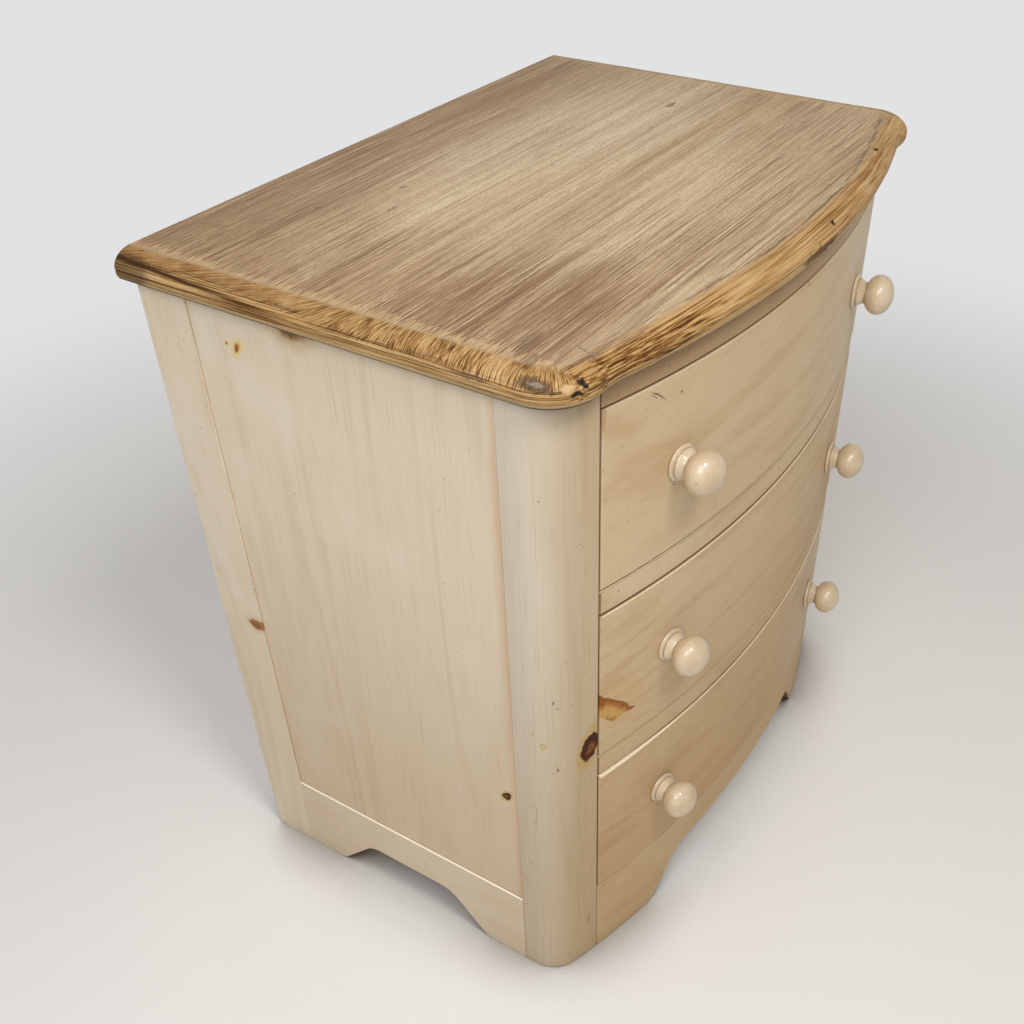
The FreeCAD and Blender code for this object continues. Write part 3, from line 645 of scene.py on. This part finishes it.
def crispFront(node, shape, worn):    # draws the round of a drawer front in, but leaves one worn top edge
    low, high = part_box(node)
    limit = bow["round"] * bow["slack"]
    for face in shape.faces:
        middle = face.calc_center_median()
        back = middle.y - low.y - bow["radius"] + math.sqrt(bow["radius"] ** 2 - middle.x ** 2)
        if back < limit and high.z - middle.z < limit and face.normal.z > bow["upward"]:
            face[worn] = bow["pale"][node]
    for corner in shape.verts:
        bowed = low.y + bow["radius"] - math.sqrt(bow["radius"] ** 2 - corner.co.x ** 2)
        back = corner.co.y - bowed
        if back > limit:
            continue
        share = bow["crisp"] / bow["round"]
        over, under = high.z - corner.co.z, corner.co.z - low.z
        side = high.x - abs(corner.co.x)
        if over < limit and node == bow["worn"]:
            share = max(bow["crisp"], bow["deepest"] - (corner.co.x - low.x) * bow["slope"]) / bow["round"]
        if under < limit:
            share = bow["under"] / bow["round"]
        if min(over, under, side) < limit:
            corner.co.y = bowed + back * share
        if over < limit:
            corner.co.z = high.z - over * share
        if under < limit:
            corner.co.z = low.z + under * share
        if side < limit and over > limit:
            corner.co.x = math.copysign(high.x - side * share, corner.co.x)


def bowNormals(mesh):    # a bowed face shades as one sheet, whatever is bored through it
    centre = Vector((0, bow["centre"], 0))
    normals = [corner.vector.copy() for corner in mesh.corner_normals]
    for face in mesh.polygons:
        away = (face.center - centre).to_2d().length
        onBow = abs(away - bow["radius"]) < bow["close"] and abs(face.normal.z) < bow["upright"]
        if onBow and face.normal.y < bow["forward"]:
            for corner in face.loop_indices:
                ray = (mesh.vertices[mesh.loops[corner].vertex_index].co - centre).to_2d().normalized()
                normals[corner] = ray.to_3d()
    mesh.normals_split_custom_set(normals)


def easedMesh(node, ease):
    shape = mergedShape(nodes[node].data)
    bmesh.ops.dissolve_limit(shape, angle_limit=math.radians(easing["flat"]), verts=shape.verts,
                             edges=shape.edges)
    for label in ("eased", "worn"):
        shape.faces.layers.float.new(label)
    eased, worn = [shape.faces.layers.float[label] for label in ("eased", "worn")]
    sharp = [edge for edge in shape.edges if edge.is_manifold and edge.calc_length() > easing["shortest"]
             and edge.calc_face_angle() > math.radians(easing["sharp"])]
    made = bmesh.ops.bevel(shape, geom=sharp, offset=ease, offset_type="OFFSET", segments=easing["steps"],
                           profile=0.5, affect="EDGES", clamp_overlap=True)
    for face in made["faces"]:
        face[eased] = 1.0
    for face in shape.faces:
        face.smooth = True
    if node.endswith("drawer_front"):
        crispFront(node, shape, worn)
    mesh = bpy.data.meshes.new(node)
    shape.to_mesh(mesh)
    shape.free()
    mesh = settled(node + "_eased", mesh)
    if node.endswith("drawer_front"):
        bowNormals(mesh)
    return mesh


finishes = {
    "side": limedPineMaterial("limed_pine_side", "z", seam=0.15, knots=[
        ((-271, 111.3, 548.6), (4, 3.2, 5.6), "amber", (42, 0, 0)),
        ((-271, 120.3, 549.9), (2, 1.3, 2.2), "amber", (20, 0, 0)),
        ((-271, 57, 577), (9, 15, 10), "shade"),
        ((-271, -92.7, 212.9), (4, 3.4, 4.6), "dark", (40, 0, 0))], marks=[
        ((-271, -99.5, 330), (4, 4.4, 330), "blush", 0.22),
        ((-271, -101, 330), (4, 2.2, 330), "blush", 0.35)]),
    "rearPost": limedPineMaterial("limed_pine_rear_post", "z", seam=0.15, knots=[
        ((-273, 158.5, 281.2), (8, 9, 6), "russet")], dusk=0.3),
    "frontPost": limedPineMaterial("limed_pine_front_post", "z", 1.0, seam=0.7, knots=[
        ((-236.5, -149.4, 270), (8.2, 9, 14), "dark", (0, 20, 0)),
        ((-269.7, -128.7, 288.1), (3, 2.6, 3.6), "faint")], marks=[
        ((-272.4, -120.9, 208), (1.2, 0.5, 20), "mark", 0.3),
        ((-237.3, -148.6, 50), (1.8, 4, 8.5), "rubbed", 0.7, (0, 5, 0)),
        ((-264.6, -135.8, 332), (1.2, 1.2, 2.2), "mark", 0.5),
        ((-263.6, -136.8, 261.1), (1.2, 1.2, 2), "mark", 0.5)], tint=paint(241, 244, 249), sunk=0.0),
    "sideApron": limedPineMaterial("limed_pine_side_apron", "y", seam=0.1, bare=1.0, dusk=0.6, ledge=1.0),
    "frontApron": limedPineMaterial("limed_pine_front_apron", "x", 1.0, seam=0.1, glaze=0.5, bare=0.0,
                                    dusk=0.8, sunk=0.4),
    "front": limedPineMaterial("limed_pine_front", "x", 1.0, seam=0.7, glaze=0.65, bare=0.9,
                               grain=1.6, chalky=0.32, marks=[
        ((-180.8, -165, 549.6), (9.2, 5, 0.5), "mark", 0.8, (0, 37, 0)),
        ((-184, -164, 549.5), (5, 5, 0.4), "mark", 0.6, (0, 42, 0)),
        ((-158.3, -170.1, 543.5), (1.1, 3, 1.1), "mark", 0.7),
        ((-161.7, -169.4, 471.8), (1, 3, 1), "mark", 0.6),
        ((4.4, -186.2, 557.2), (1.6, 3, 3), "rubbed", 0.8),
        ((-227, -154, 552), (2.6, 5, 9), "rubbed", 0.45)]),
    "rail": limedPineMaterial("limed_pine_rail", "x", 1.0, seam=0.7, glaze=0.65, bare=0.2, grain=1.6),
    # the top rail is tinted darker: painted shadow of the overhanging top
    "topRail": limedPineMaterial("limed_pine_top_rail", "x", 1.0, seam=0.7, glaze=0.65,
                                 tint=paint(213, 200, 188), chalky=0.4),
    "middleFront": limedPineMaterial("limed_pine_middle_front", "x", 1.0, seam=0.7, glaze=0.65, bare=0.9,
                                     grain=1.6, marks=[
        ((-205, -157, 297), (34, 20, 22), "honey", 0.16, (0, 40, 0)),
        ((202, -159.6, 365), (3, 6, 7), "rubbed", 0.7)],
        patch={"low": 69 * mm, "high": 90 * mm, "floor": 283 * mm, "end": (-221 * mm, -227 * mm)}),
    "rawX": rawPineMaterial("raw_pine_x", "x"),
    "rawY": rawPineMaterial("raw_pine_y", "y"),
    "rawZ": rawPineMaterial("raw_pine_z", "z"),
    "backBoard": plywoodMaterial("plywood_back", "z", "y"),
    "drawerBoard": plywoodMaterial("plywood_drawer", "x", "z"),
    "knob": knobLacquerMaterial("ivory_lacquer"),
    "steel": steelMaterial("zinc_steel"),
}
print("finishes:", len(finishes))

drawers = ("bottom", "middle", "top")
timber = {    # node: finish, eased edge in millimetres
    "left_front_post": ("frontPost", 1.2), "right_front_post": ("frontPost", 1.2),
    "left_rear_post": ("rearPost", 0.5), "right_rear_post": ("rearPost", 0.5),
    "left_side_panel": ("side", 0.3), "right_side_panel": ("side", 0.3),
    "left_side_apron": ("sideApron", 1.2), "right_side_apron": ("sideApron", 1.2),
    "top_front_rail": ("topRail", 0.6), "upper_mid_rail": ("rail", 1.6), "lower_mid_rail": ("rail", 1.4),
    "front_apron": ("frontApron", 1.2), "back_bottom_rail": ("rawX", 0.8), "back_top_rail": ("rawX", 0.8),
    "back_panel": ("backBoard", 0.3), "left_top_cleat": ("rawY", 0.8), "right_top_cleat": ("rawY", 0.8),
    "drawer_stops": ("rawX", 0.6), "glue_blocks": ("rawZ", 0.6),
}
for drawer in drawers:
    timber[drawer + "_drawer_front"] = ("middleFront" if drawer == "middle" else "front", 0.45)
    timber[drawer + "_drawer_back"] = ("rawX", 0.8)
    timber[drawer + "_drawer_bottom"] = ("drawerBoard", 0.3)
    for side in ("left", "right"):
        timber[f"{drawer}_drawer_{side}_side"] = ("rawY", 0.8)
        timber[f"{drawer}_{side}_runner"] = ("rawY", 0.6)
for node, (finish, ease) in timber.items():
    keepPiece(node + "_finished", easedMesh(node, ease * mm), [node], finishes[finish])
print("timber:", len(timber), "eased pieces")


# Top: an outline of lines and arcs, swept with a worn bullnose edge

top = {
    "earFront": -163.46 * mm, "crown": -194.96 * mm, "bowHalf": 232 * mm,
    "earRound": 36 * mm, "hollowRound": 60 * mm, "step": 0.9 * mm,
    "rollIn": 18 * mm, "rollDown": 12 * mm, "lowerIn": 6 * mm, "lowerUp": 7.5 * mm,
    "rollSteps": 14, "lowerSteps": 9, "splitIn": 0.6 * mm, "splitDown": 0.35 * mm,
}


def bowRadius():    # of the top's front edge, through its crown and both ends of its bow
    rise = top["earFront"] - top["crown"]
    return (top["bowHalf"] ** 2 / rise + rise) / 2


def arcPoints(centre, radius, start, end, outward):
    turns = max(2, round(abs(end - start) * radius / top["step"]))
    points = []
    for number in range(turns):
        angle = start + (end - start) * number / turns
        ray = Vector((math.cos(angle), math.sin(angle)))
        points.append((Vector(centre) + ray * radius, ray * outward))
    return points


def linePoints(start, end, normal):
    start, end = Vector(start), Vector(end)
    count = max(1, round((end - start).length / top["step"]))
    return [(start.lerp(end, number / count), Vector(normal)) for number in range(count)]


def topOutline():    # from the back left corner round the front to the back right one
    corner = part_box("top_panel")[1]
    half, back, front = corner.x, corner.y, top["earFront"]
    radius = bowRadius()
    bowCentre = Vector((0, top["crown"] + radius))
    ear, hollow = top["earRound"], top["hollowRound"]
    drop = front - hollow - bowCentre.y
    hollowCentre = Vector((-math.sqrt((radius + hollow) ** 2 - drop ** 2), front - hollow))
    toward = bowCentre - hollowCentre
    lean = math.atan2(toward.y, toward.x)
    bowStart = math.atan2(-toward.y, -toward.x) + 2 * math.pi
    left = linePoints((-half, back), (-half, front + ear), (-1, 0))
    left += arcPoints((-half + ear, front + ear), ear, math.pi, 1.5 * math.pi, 1)
    left += linePoints((-half + ear, front), (hollowCentre.x, front), (0, -1))
    left += arcPoints(hollowCentre, hollow, math.pi / 2, lean, -1)
    left += arcPoints(bowCentre, radius, bowStart, 1.5 * math.pi, 1)
    crown = [(Vector((0, top["crown"])), Vector((0, -1)))]
    right = [(Vector((-point.x, point.y)), Vector((-out.x, out.y))) for point, out in reversed(left)]
    return left + crown + right


def topProfile():    # (inset, depth below the surface) from the flat to the underside
    low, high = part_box("top_panel")
    thick = high.z - low.z
    points = []
    for number in range(top["rollSteps"]):
        angle = math.pi / 2 * number / (top["rollSteps"] - 1)
        points.append((top["rollIn"] * (1 - math.sin(angle)), top["rollDown"] * (1 - math.cos(angle))))
    points.append((top["splitIn"], top["rollDown"] + top["splitDown"]))
    for number in range(top["lowerSteps"]):
        angle = math.pi / 2 * number / (top["lowerSteps"] - 1)
        points.append((top["lowerIn"] * (1 - math.cos(angle)),
                       thick - top["lowerUp"] * (1 - math.sin(angle))))
    return points


def bell(distance, radius):
    return math.exp(-(distance / radius) ** 2)


topDents = [    # place, radius, depth in millimetres
    ((-260.5, -157.2, 594.0), 3.0, 1.8),
    ((-264.5, -157.7, 589.3), 3.2, 1.6),
    ((-277, -136.5, 595.8), 6.0, 0.8),
    ((-270, -150, 594.8), 4.0, -0.5),
    ((173.1, -164.9, 599.4), 1.8, 1.5),
    ((24.7, -190.4, 595.7), 1.6, 1.4),
]
topWorn = {    # depths of the wear, its limit outwards, and the run over which it begins, in millimetres
    "strokes": 0.24, "layers": 0.45, "swell": 0.35, "bites": 4.0, "proud": -0.1, "calm": 4.0,
}


def topWear(place, travelled, share, ending):    # how far the edge has worn in, in metres
    band = math.sin(math.pi * share)
    upper, lower = bell(share - 0.3, 0.22), bell(share - 0.68, 0.18)
    strokes = abs(noise.noise(Vector((travelled * 460, share * 3, 1)))) * topWorn["strokes"] * upper * ending
    layers = noise.noise(Vector((travelled * 9, share * 38, 5))) * topWorn["layers"] * lower
    swell = noise.noise(Vector((travelled * 35, share * 4, 9))) * topWorn["swell"] * band
    chipped = bell(place.x + 4 * mm, 50 * mm) + 0.25 * bell(place.x + 180 * mm, 40 * mm)
    bites = max(0.0, noise.noise(Vector((travelled * 140, share * 9, 13))) - 0.08) * topWorn["bites"]
    wear = strokes + layers + swell + bites * lower * chipped * (1 - ending)
    for centre, radius, depth in topDents:
        wear += depth * bell((place - Vector(centre) * mm).length, radius * mm)
    return wear * mm


def topMesh():
    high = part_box("top_panel")[1]
    outline, profile = topOutline(), topProfile()
    shape = bmesh.new()
    layers = [shape.verts.layers.float.new(label) for label in ("rim", "roll", "ends")]
    normals = []
    for number in range(len(profile)):
        before, after = profile[max(0, number - 1)], profile[min(len(profile) - 1, number + 1)]
        along = Vector((before[0] - after[0], before[1] - after[1])).normalized()
        normals.append(Vector((-along.y, along.x)))
    travelled, last, rows = 0.0, outline[0][0], []
    whole = sum((second[0] - first[0]).length for first, second in zip(outline, outline[1:]))
    for point, out in outline:
        travelled += (point - last).length
        last = point
        row = []
        calm = min(1.0, min(travelled, whole - travelled) / (topWorn["calm"] * mm))
        for number, (inset, depth) in enumerate(profile):
            share = number / (len(profile) - 1)
            flat = point - out * inset
            place = Vector((flat.x, flat.y, high.z - depth))
            normal = normals[number]
            if 0 < share < 1:
                wear = max(topWorn["proud"] * mm, topWear(place, travelled, share, abs(out.x))) * calm
                place -= Vector((out.x * normal.x, out.y * normal.x, normal.y)) * wear
            corner = shape.verts.new(place)
            for layer, value in zip(layers, (travelled, share, abs(out.x))):
                corner[layer] = value
            row.append(corner)
        rows.append(row)
    for first, second in zip(rows, rows[1:]):
        for number in range(len(profile) - 1):
            shape.faces.new((first[number], second[number], second[number + 1], first[number + 1]))
    shape.faces.new([row[0] for row in rows])
    shape.faces.new([row[-1] for row in reversed(rows)])
    shape.faces.new(rows[0] + rows[-1][::-1])
    bmesh.ops.recalc_face_normals(shape, faces=shape.faces)
    for face in shape.faces:
        face.smooth = len(face.verts) == 4
    mesh = bpy.data.meshes.new("top_boards")
    shape.to_mesh(mesh)
    shape.free()
    return mesh


keepPiece("top_boards", topMesh(), ["top_panel"], stainedTopMaterial("stained_top_boards"))
print("top: swept edge")


# Knobs: turned foot and head, two on each bowed front

knobSizes = {
    "Foot Radius": 13.9 * mm, "Foot Height": 11.2 * mm, "Head Radius": 16.5 * mm, "Head Length": 25 * mm,
    "Reach": 33.5 * mm, "Spread": 155 * mm,
}
knob = {
    "around": 64, "along": 40, "flat": 0.06, "footShare": 0.36,
    "footCurve": [(0.0, 0.0, "VECTOR"), (0.06, 0.95, "VECTOR"), (0.14, 1.0, "AUTO"), (0.27, 0.95, "AUTO"),
                  (0.32, 0.84, "VECTOR"), (0.42, 0.86, "AUTO"), (0.62, 0.74, "AUTO"), (0.86, 0.63, "AUTO"),
                  (1.0, 0.66, "VECTOR")],
}


def newTree(name, *numbers):    # takes points, these numbers and a material
    tree = bpy.data.node_groups.new(name, "GeometryNodeTree")
    inputs = {"Geometry": "Geometry", **dict.fromkeys(numbers, "Float"), "Material": "Material"}
    for label, kind in inputs.items():
        tree.interface.new_socket(label, in_out="INPUT", socket_type="NodeSocket" + kind)
    tree.interface.new_socket("Geometry", in_out="OUTPUT", socket_type="NodeSocketGeometry")
    start = Wire(tree)
    return tree, start, start.make("NodeGroupInput")


def endTree(start, points, parts, turn, material):    # the parts on every point, as one plain mesh
    joined = start.make("GeometryNodeJoinGeometry")
    for part in parts:
        start.tree.links.new(part.socket, joined.socket.node.inputs[0])
    placed = start.make("GeometryNodeInstanceOnPoints", None,
                        {"Points": points, "Instance": joined, "Rotation": turn})
    whole = start.make("GeometryNodeRealizeInstances", None, {"Geometry": placed})
    dressed = start.make("GeometryNodeSetMaterial", None, {"Geometry": whole, "Material": material})
    start.make("NodeGroupOutput", None, {"Geometry": dressed})


def grownMesh(name, tree, values, points=None, smooth=True):    # runs a tree once and keeps its plain mesh
    holder = bpy.data.objects.new(name, points or bpy.data.meshes.new(name))
    modifier = holder.modifiers.new("tree", "NODES")
    modifier.node_group = tree
    for item in tree.interface.items_tree:
        if item.item_type == "SOCKET" and item.in_out == "INPUT" and item.name in values:
            modifier[item.identifier] = values[item.name]
    mesh = plainMesh(name, holder)
    shape = mergedShape(mesh)
    bmesh.ops.recalc_face_normals(shape, faces=shape.faces)
    for face in shape.faces:
        face.smooth = smooth
    shape.to_mesh(mesh)
    shape.free()
    return mesh


def sheetOf(start, around, along):    # a flat grid with its two shares, round and along the axis
    grid = start.make("GeometryNodeMeshGrid", None, {"Size X": 1.0, "Size Y": 1.0, "Vertices X": around,
                                                     "Vertices Y": along})
    across = start.make("GeometryNodeInputPosition").axes()
    return grid, (across + 0.5) * (2 * math.pi), across.other("Y") + 0.5


def turnedOn(start, grid, angle, radius, height, share):    # wraps the grid round the axis
    point = start.point(radius * angle.math("COSINE", angle), radius * angle.math("SINE", angle), height)
    turned = start.make("GeometryNodeStoreNamedAttribute", {"data_type": "FLOAT", "domain": "POINT"},
                        {"Geometry": grid, "Name": "turned", "Value": share})
    return start.make("GeometryNodeSetPosition", None, {"Geometry": turned, "Position": point})


def knobTree():
    tree, start, inputs = newTree("knob_pair", *knobSizes, "Bow Radius", "Bow Centre", "Height")
    grid, angle, share = sheetOf(start, knob["around"] + 1, knob["along"])
    width = share.make("ShaderNodeFloatCurve", {"curve": knob["footCurve"]}, {"Value": share})
    lifted = share - knob["flat"]
    rise = lifted.math("MAXIMUM", lifted, 0.0) / (1 - knob["flat"])
    foot = turnedOn(start, grid, angle, width * inputs.other("Foot Radius"),
                    rise * inputs.other("Foot Height"), share * knob["footShare"])
    half = inputs.other("Head Length") * 0.5
    middle = inputs.other("Reach") - half
    begin = (middle - inputs.other("Foot Height")) / half
    begin = begin.math("ARCCOSINE", begin)
    grid, angle, share = sheetOf(start, knob["around"] + 1, knob["along"])
    sweep = begin + share * (math.pi - begin)
    head = turnedOn(start, grid, angle, inputs.other("Head Radius") * sweep.math("SINE", sweep),
                    middle - half * sweep.math("COSINE", sweep),
                    share * (1 - knob["footShare"]) + knob["footShare"])
    spread = inputs.other("Spread")
    line = start.make("GeometryNodeMeshLine", {"mode": "END_POINTS"}, {
        "Count": 2, "Start Location": start.point(spread * -1.0), "Offset": start.point(spread)})
    across = start.make("GeometryNodeInputPosition").axes()
    radius = inputs.other("Bow Radius")
    depth = radius * radius - across * across
    seat = start.point(across, inputs.other("Bow Centre") - depth.math("SQRT", depth), inputs.other("Height"))
    points = start.make("GeometryNodeSetPosition", None, {"Geometry": line, "Position": seat})
    lean = across / radius
    turn = start.point(math.pi / 2, 0.0, lean.math("ARCSINE", lean))
    endTree(start, points, (head, foot), turn, inputs.other("Material"))
    return tree


knobs = knobTree()
for drawer in drawers:
    pair = [f"{drawer}_left_knob", f"{drawer}_right_knob"]
    low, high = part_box(pair[0])
    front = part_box(drawer + "_drawer_front")[0]
    mesh = grownMesh(drawer + "_knob_pair", knobs, {
        **knobSizes, "Bow Radius": bow["radius"], "Bow Centre": front.y + bow["radius"],
        "Height": (low.z + high.z) / 2, "Material": finishes["knob"]})
    keepPiece(drawer + "_knob_pair", mesh, pair, finishes["knob"])
print("knobs: 2 on each of", len(drawers), "drawers")


# Screws and pins: one tree, set on the places of the fasteners in the CAD

fixingSizes = ("Head Radius", "Head Height", "Shank Radius", "Slot Width", "Slot Depth")
fixings = {"screw": (4.0, 2.6, 2.0, 1.0, 1.1), "pin": (2.0, 0.8, 0.8, 0.4, -1.0)}    # in millimetres
fixingForm = {    # sides of the two cones, shares of the head's and shank's sizes, and a head's flatness
    "headSides": 28, "shankSides": 20, "rim": 0.86, "tip": 0.4, "lap": 0.98, "flatness": 0.02 * mm,
}


def fixingTree():
    tree, start, inputs = newTree("fixings", *fixingSizes, "Length")
    wide, tall, slim, slotWidth, slotDepth = [inputs.other(label) for label in fixingSizes]
    head = start.make("GeometryNodeMeshCone", None, {
        "Vertices": fixingForm["headSides"], "Radius Top": wide, "Radius Bottom": wide * fixingForm["rim"],
        "Depth": tall})
    box = start.make("GeometryNodeMeshCube", None, {
        "Size": start.point(wide * 3.0, slotWidth, tall * 2.0)})
    cutter = start.make("GeometryNodeTransform", None, {
        "Geometry": box, "Translation": start.point(z=slotDepth - tall)})
    slotted = start.make("GeometryNodeMeshBoolean", {"operation": "DIFFERENCE"},
                         {"Mesh 1": head, "Mesh 2": cutter})
    shank = start.make("GeometryNodeMeshCone", None, {
        "Vertices": fixingForm["shankSides"], "Radius Top": slim * fixingForm["tip"], "Radius Bottom": slim,
        "Depth": inputs.other("Length") - tall})
    raised = start.make("GeometryNodeTransform", None, {
        "Geometry": shank, "Translation": start.point(z=tall * fixingForm["lap"])})
    points = start.make("GeometryNodeMeshToPoints", None, {"Mesh": inputs})
    aim = start.make("GeometryNodeInputNamedAttribute", {"data_type": "FLOAT_VECTOR"}, {"Name": "aim"})
    turn = start.make("FunctionNodeAlignRotationToVector", {"axis": "Z"}, {"Vector": aim})
    endTree(start, points, (raised, slotted), turn, inputs.other("Material"))
    return tree


def looseParts(mesh):    # the corners of each separate fastener in a CAD mesh
    shape = mergedShape(mesh)
    waiting, parts = set(shape.verts), []
    for first in shape.verts:
        if first not in waiting:
            continue
        waiting.remove(first)
        group, stack = [], [first]
        while stack:
            corner = stack.pop()
            group.append(corner.co.copy())
            for edge in corner.link_edges:
                other = edge.other_vert(corner)
                if other in waiting:
                    waiting.remove(other)
                    stack.append(other)
        parts.append(group)
    shape.free()
    return parts


def fixingAim(node, corners):    # from the head towards the tip
    if node == "top_screws":
        return Vector((0, 0, 1))
    if node == "back_panel_pins":
        return Vector((0, -1, 0))
    middle = sum(corners, Vector()) / len(corners)
    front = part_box(node.replace("knob_screws", "drawer_front"))[0]
    return Vector((middle.x, middle.y - front.y - bow["radius"], 0)).normalized()


fixingNodes = fixingTree()
for node in [name for name in nodes if slotOf[name] == "steel"]:
    heads, aims, length = [], [], 0.0
    for corners in looseParts(nodes[node].data):
        aim = fixingAim(node, corners)
        along = [corner.dot(aim) for corner in corners]
        rim = [corner for corner, place in zip(corners, along) if place < min(along) + fixingForm["flatness"]]
        heads.append(sum(rim, Vector()) / len(rim))
        aims.append(aim)
        length = max(along) - min(along)
    seats = bpy.data.meshes.new(node + "_seats")
    seats.from_pydata(heads, [], [])
    aimed = seats.attributes.new("aim", "FLOAT_VECTOR", "POINT")
    aimed.data.foreach_set("vector", [v for aim in aims for v in aim])
    values = {label: v * mm for label, v in zip(fixingSizes, fixings["pin" if "pins" in node else "screw"])}
    values.update(Length=length, Material=finishes["steel"])
    mesh = grownMesh(node + "_set", fixingNodes, values, seats, False)
    keepPiece(node + "_set", mesh, [node], finishes["steel"])
print("fixings: screws and pins set")


# Floor, light and camera

stage = {
    "floor": paint(244, 243, 241), "shade": paint(232, 231, 228), "backdrop": paint(226, 226, 227),
    "contactShade": paint(122, 112, 100), "contactShadeReach": 95 * mm, "near": 0.55, "far": 1.5, "reach": 14.0,
    "gloss": 0.25, "sky": paint(255, 252, 246), "skyStrength": 0.36,
}


def backdropRays(start):    # 1 for the rays that show the plain backdrop: seen, mirrored or through glass
    camera = start.make("ShaderNodeLightPath", output="Is Camera Ray")
    mirrored = camera.math("MAXIMUM", camera.other("Is Glossy Ray"), camera.other("Is Transmission Ray"))
    return camera.math("MAXIMUM", camera, mirrored)


def floorMaterial():    # lit beside the piece, with a painted contact shadow round its base, plain and pale further off
    material, start, place = startMaterial("pale_floor")
    cloud = place.noise(3.0, 0.6, 1.5)
    # painted contact shadow: darker where ambient occlusion finds the piece close by
    contactShade = start.make("ShaderNodeAmbientOcclusion", {"samples": 16}, {"Distance": stage["contactShadeReach"]}, "AO")
    colour = (cloud.fade(0.3, 0.8) * 0.12).mix(stage["floor"], stage["shade"])
    lit = start.make("ShaderNodeBsdfPrincipled", None, {
        "Base Color": contactShade.fade(0.92, 0.25).mix(colour, stage["contactShade"]),
        "Roughness": 0.5 + cloud * 0.1,
        "Specular IOR Level": stage["gloss"],
    })
    plain = start.make("ShaderNodeEmission", None, {"Color": stage["backdrop"], "Strength": 1.0})
    away = place.vector("LENGTH", place, output="Value").fade(stage["near"], stage["far"])
    both = start.make("ShaderNodeMixShader", None, {0: away * backdropRays(start), 1: lit, 2: plain})
    start.make("ShaderNodeOutputMaterial", None, {"Surface": both})
    return material


floorMesh = bpy.data.meshes.new("floor")
reach = stage["reach"]
floorMesh.from_pydata([(-reach, -reach, 0), (reach, -reach, 0), (reach, reach, 0), (-reach, reach, 0)],
                      [], [(0, 1, 2, 3)])
floorMesh.materials.append(floorMaterial())
floor = bpy.data.objects.new("floor", floorMesh)
scene.collection.objects.link(floor)

world = bpy.data.worlds.new("studio")
world.use_nodes = True
world.node_tree.nodes.clear()
sky = Wire(world.node_tree)
plain = sky.make("ShaderNodeBackground", None, {"Color": stage["sky"], "Strength": stage["skyStrength"]})
backdrop = sky.make("ShaderNodeBackground", None, {"Color": stage["backdrop"], "Strength": 1.0})
both = sky.make("ShaderNodeMixShader", None, {0: backdropRays(sky), 1: plain, 2: backdrop})
sky.make("ShaderNodeOutputWorld", None, {"Surface": both})
scene.world = world

lamps = {    # place, aim, size in metres, watts, colour
    "window": ((-1.2, -0.45, 1.5), (0, 0, 0.5), 0.8, 13.0, (0.97, 1.0, 1.05)),
    "ceiling": ((-0.56, -0.92, 1.8), (0, 0, 0.4), 0.4, 10.0, (1.0, 0.95, 0.88)),
}
for name, (place, aim, size, watts, colour) in lamps.items():
    lamp = bpy.data.lights.new(name, "AREA")
    lamp.size, lamp.energy, lamp.color = size, watts, colour
    holder = bpy.data.objects.new(name, lamp)
    holder.matrix_world = Matrix.Translation(place) @ (Vector(aim) - Vector(place)).to_track_quat(
        "-Z", "Y").to_matrix().to_4x4()
    scene.collection.objects.link(holder)

shot = {
    "place": (-0.7553, -0.46606, 0.9166), "forward": (0.63803, 0.41128, -0.65098),
    "right": (0.53405, -0.84539, -0.01068), "lens": 40.705, "sensor": 36.0, "shift": (-0.0559, 0.1076),
}
camera = bpy.data.cameras.new("camera")
camera.lens, camera.sensor_width = shot["lens"], shot["sensor"]
camera.shift_x, camera.shift_y = shot["shift"]
viewer = bpy.data.objects.new("camera", camera)
forward = Vector(shot["forward"]).normalized()
right = Vector(shot["right"])
right = (right - forward * right.dot(forward)).normalized()
turn = Matrix((right, right.cross(forward), -forward)).transposed()
viewer.matrix_world = Matrix.Translation(shot["place"]) @ turn.to_4x4()
scene.collection.objects.link(viewer)
scene.camera = viewer
scene.view_settings.view_transform = "Standard"
print("stage: floor, lamps and camera")
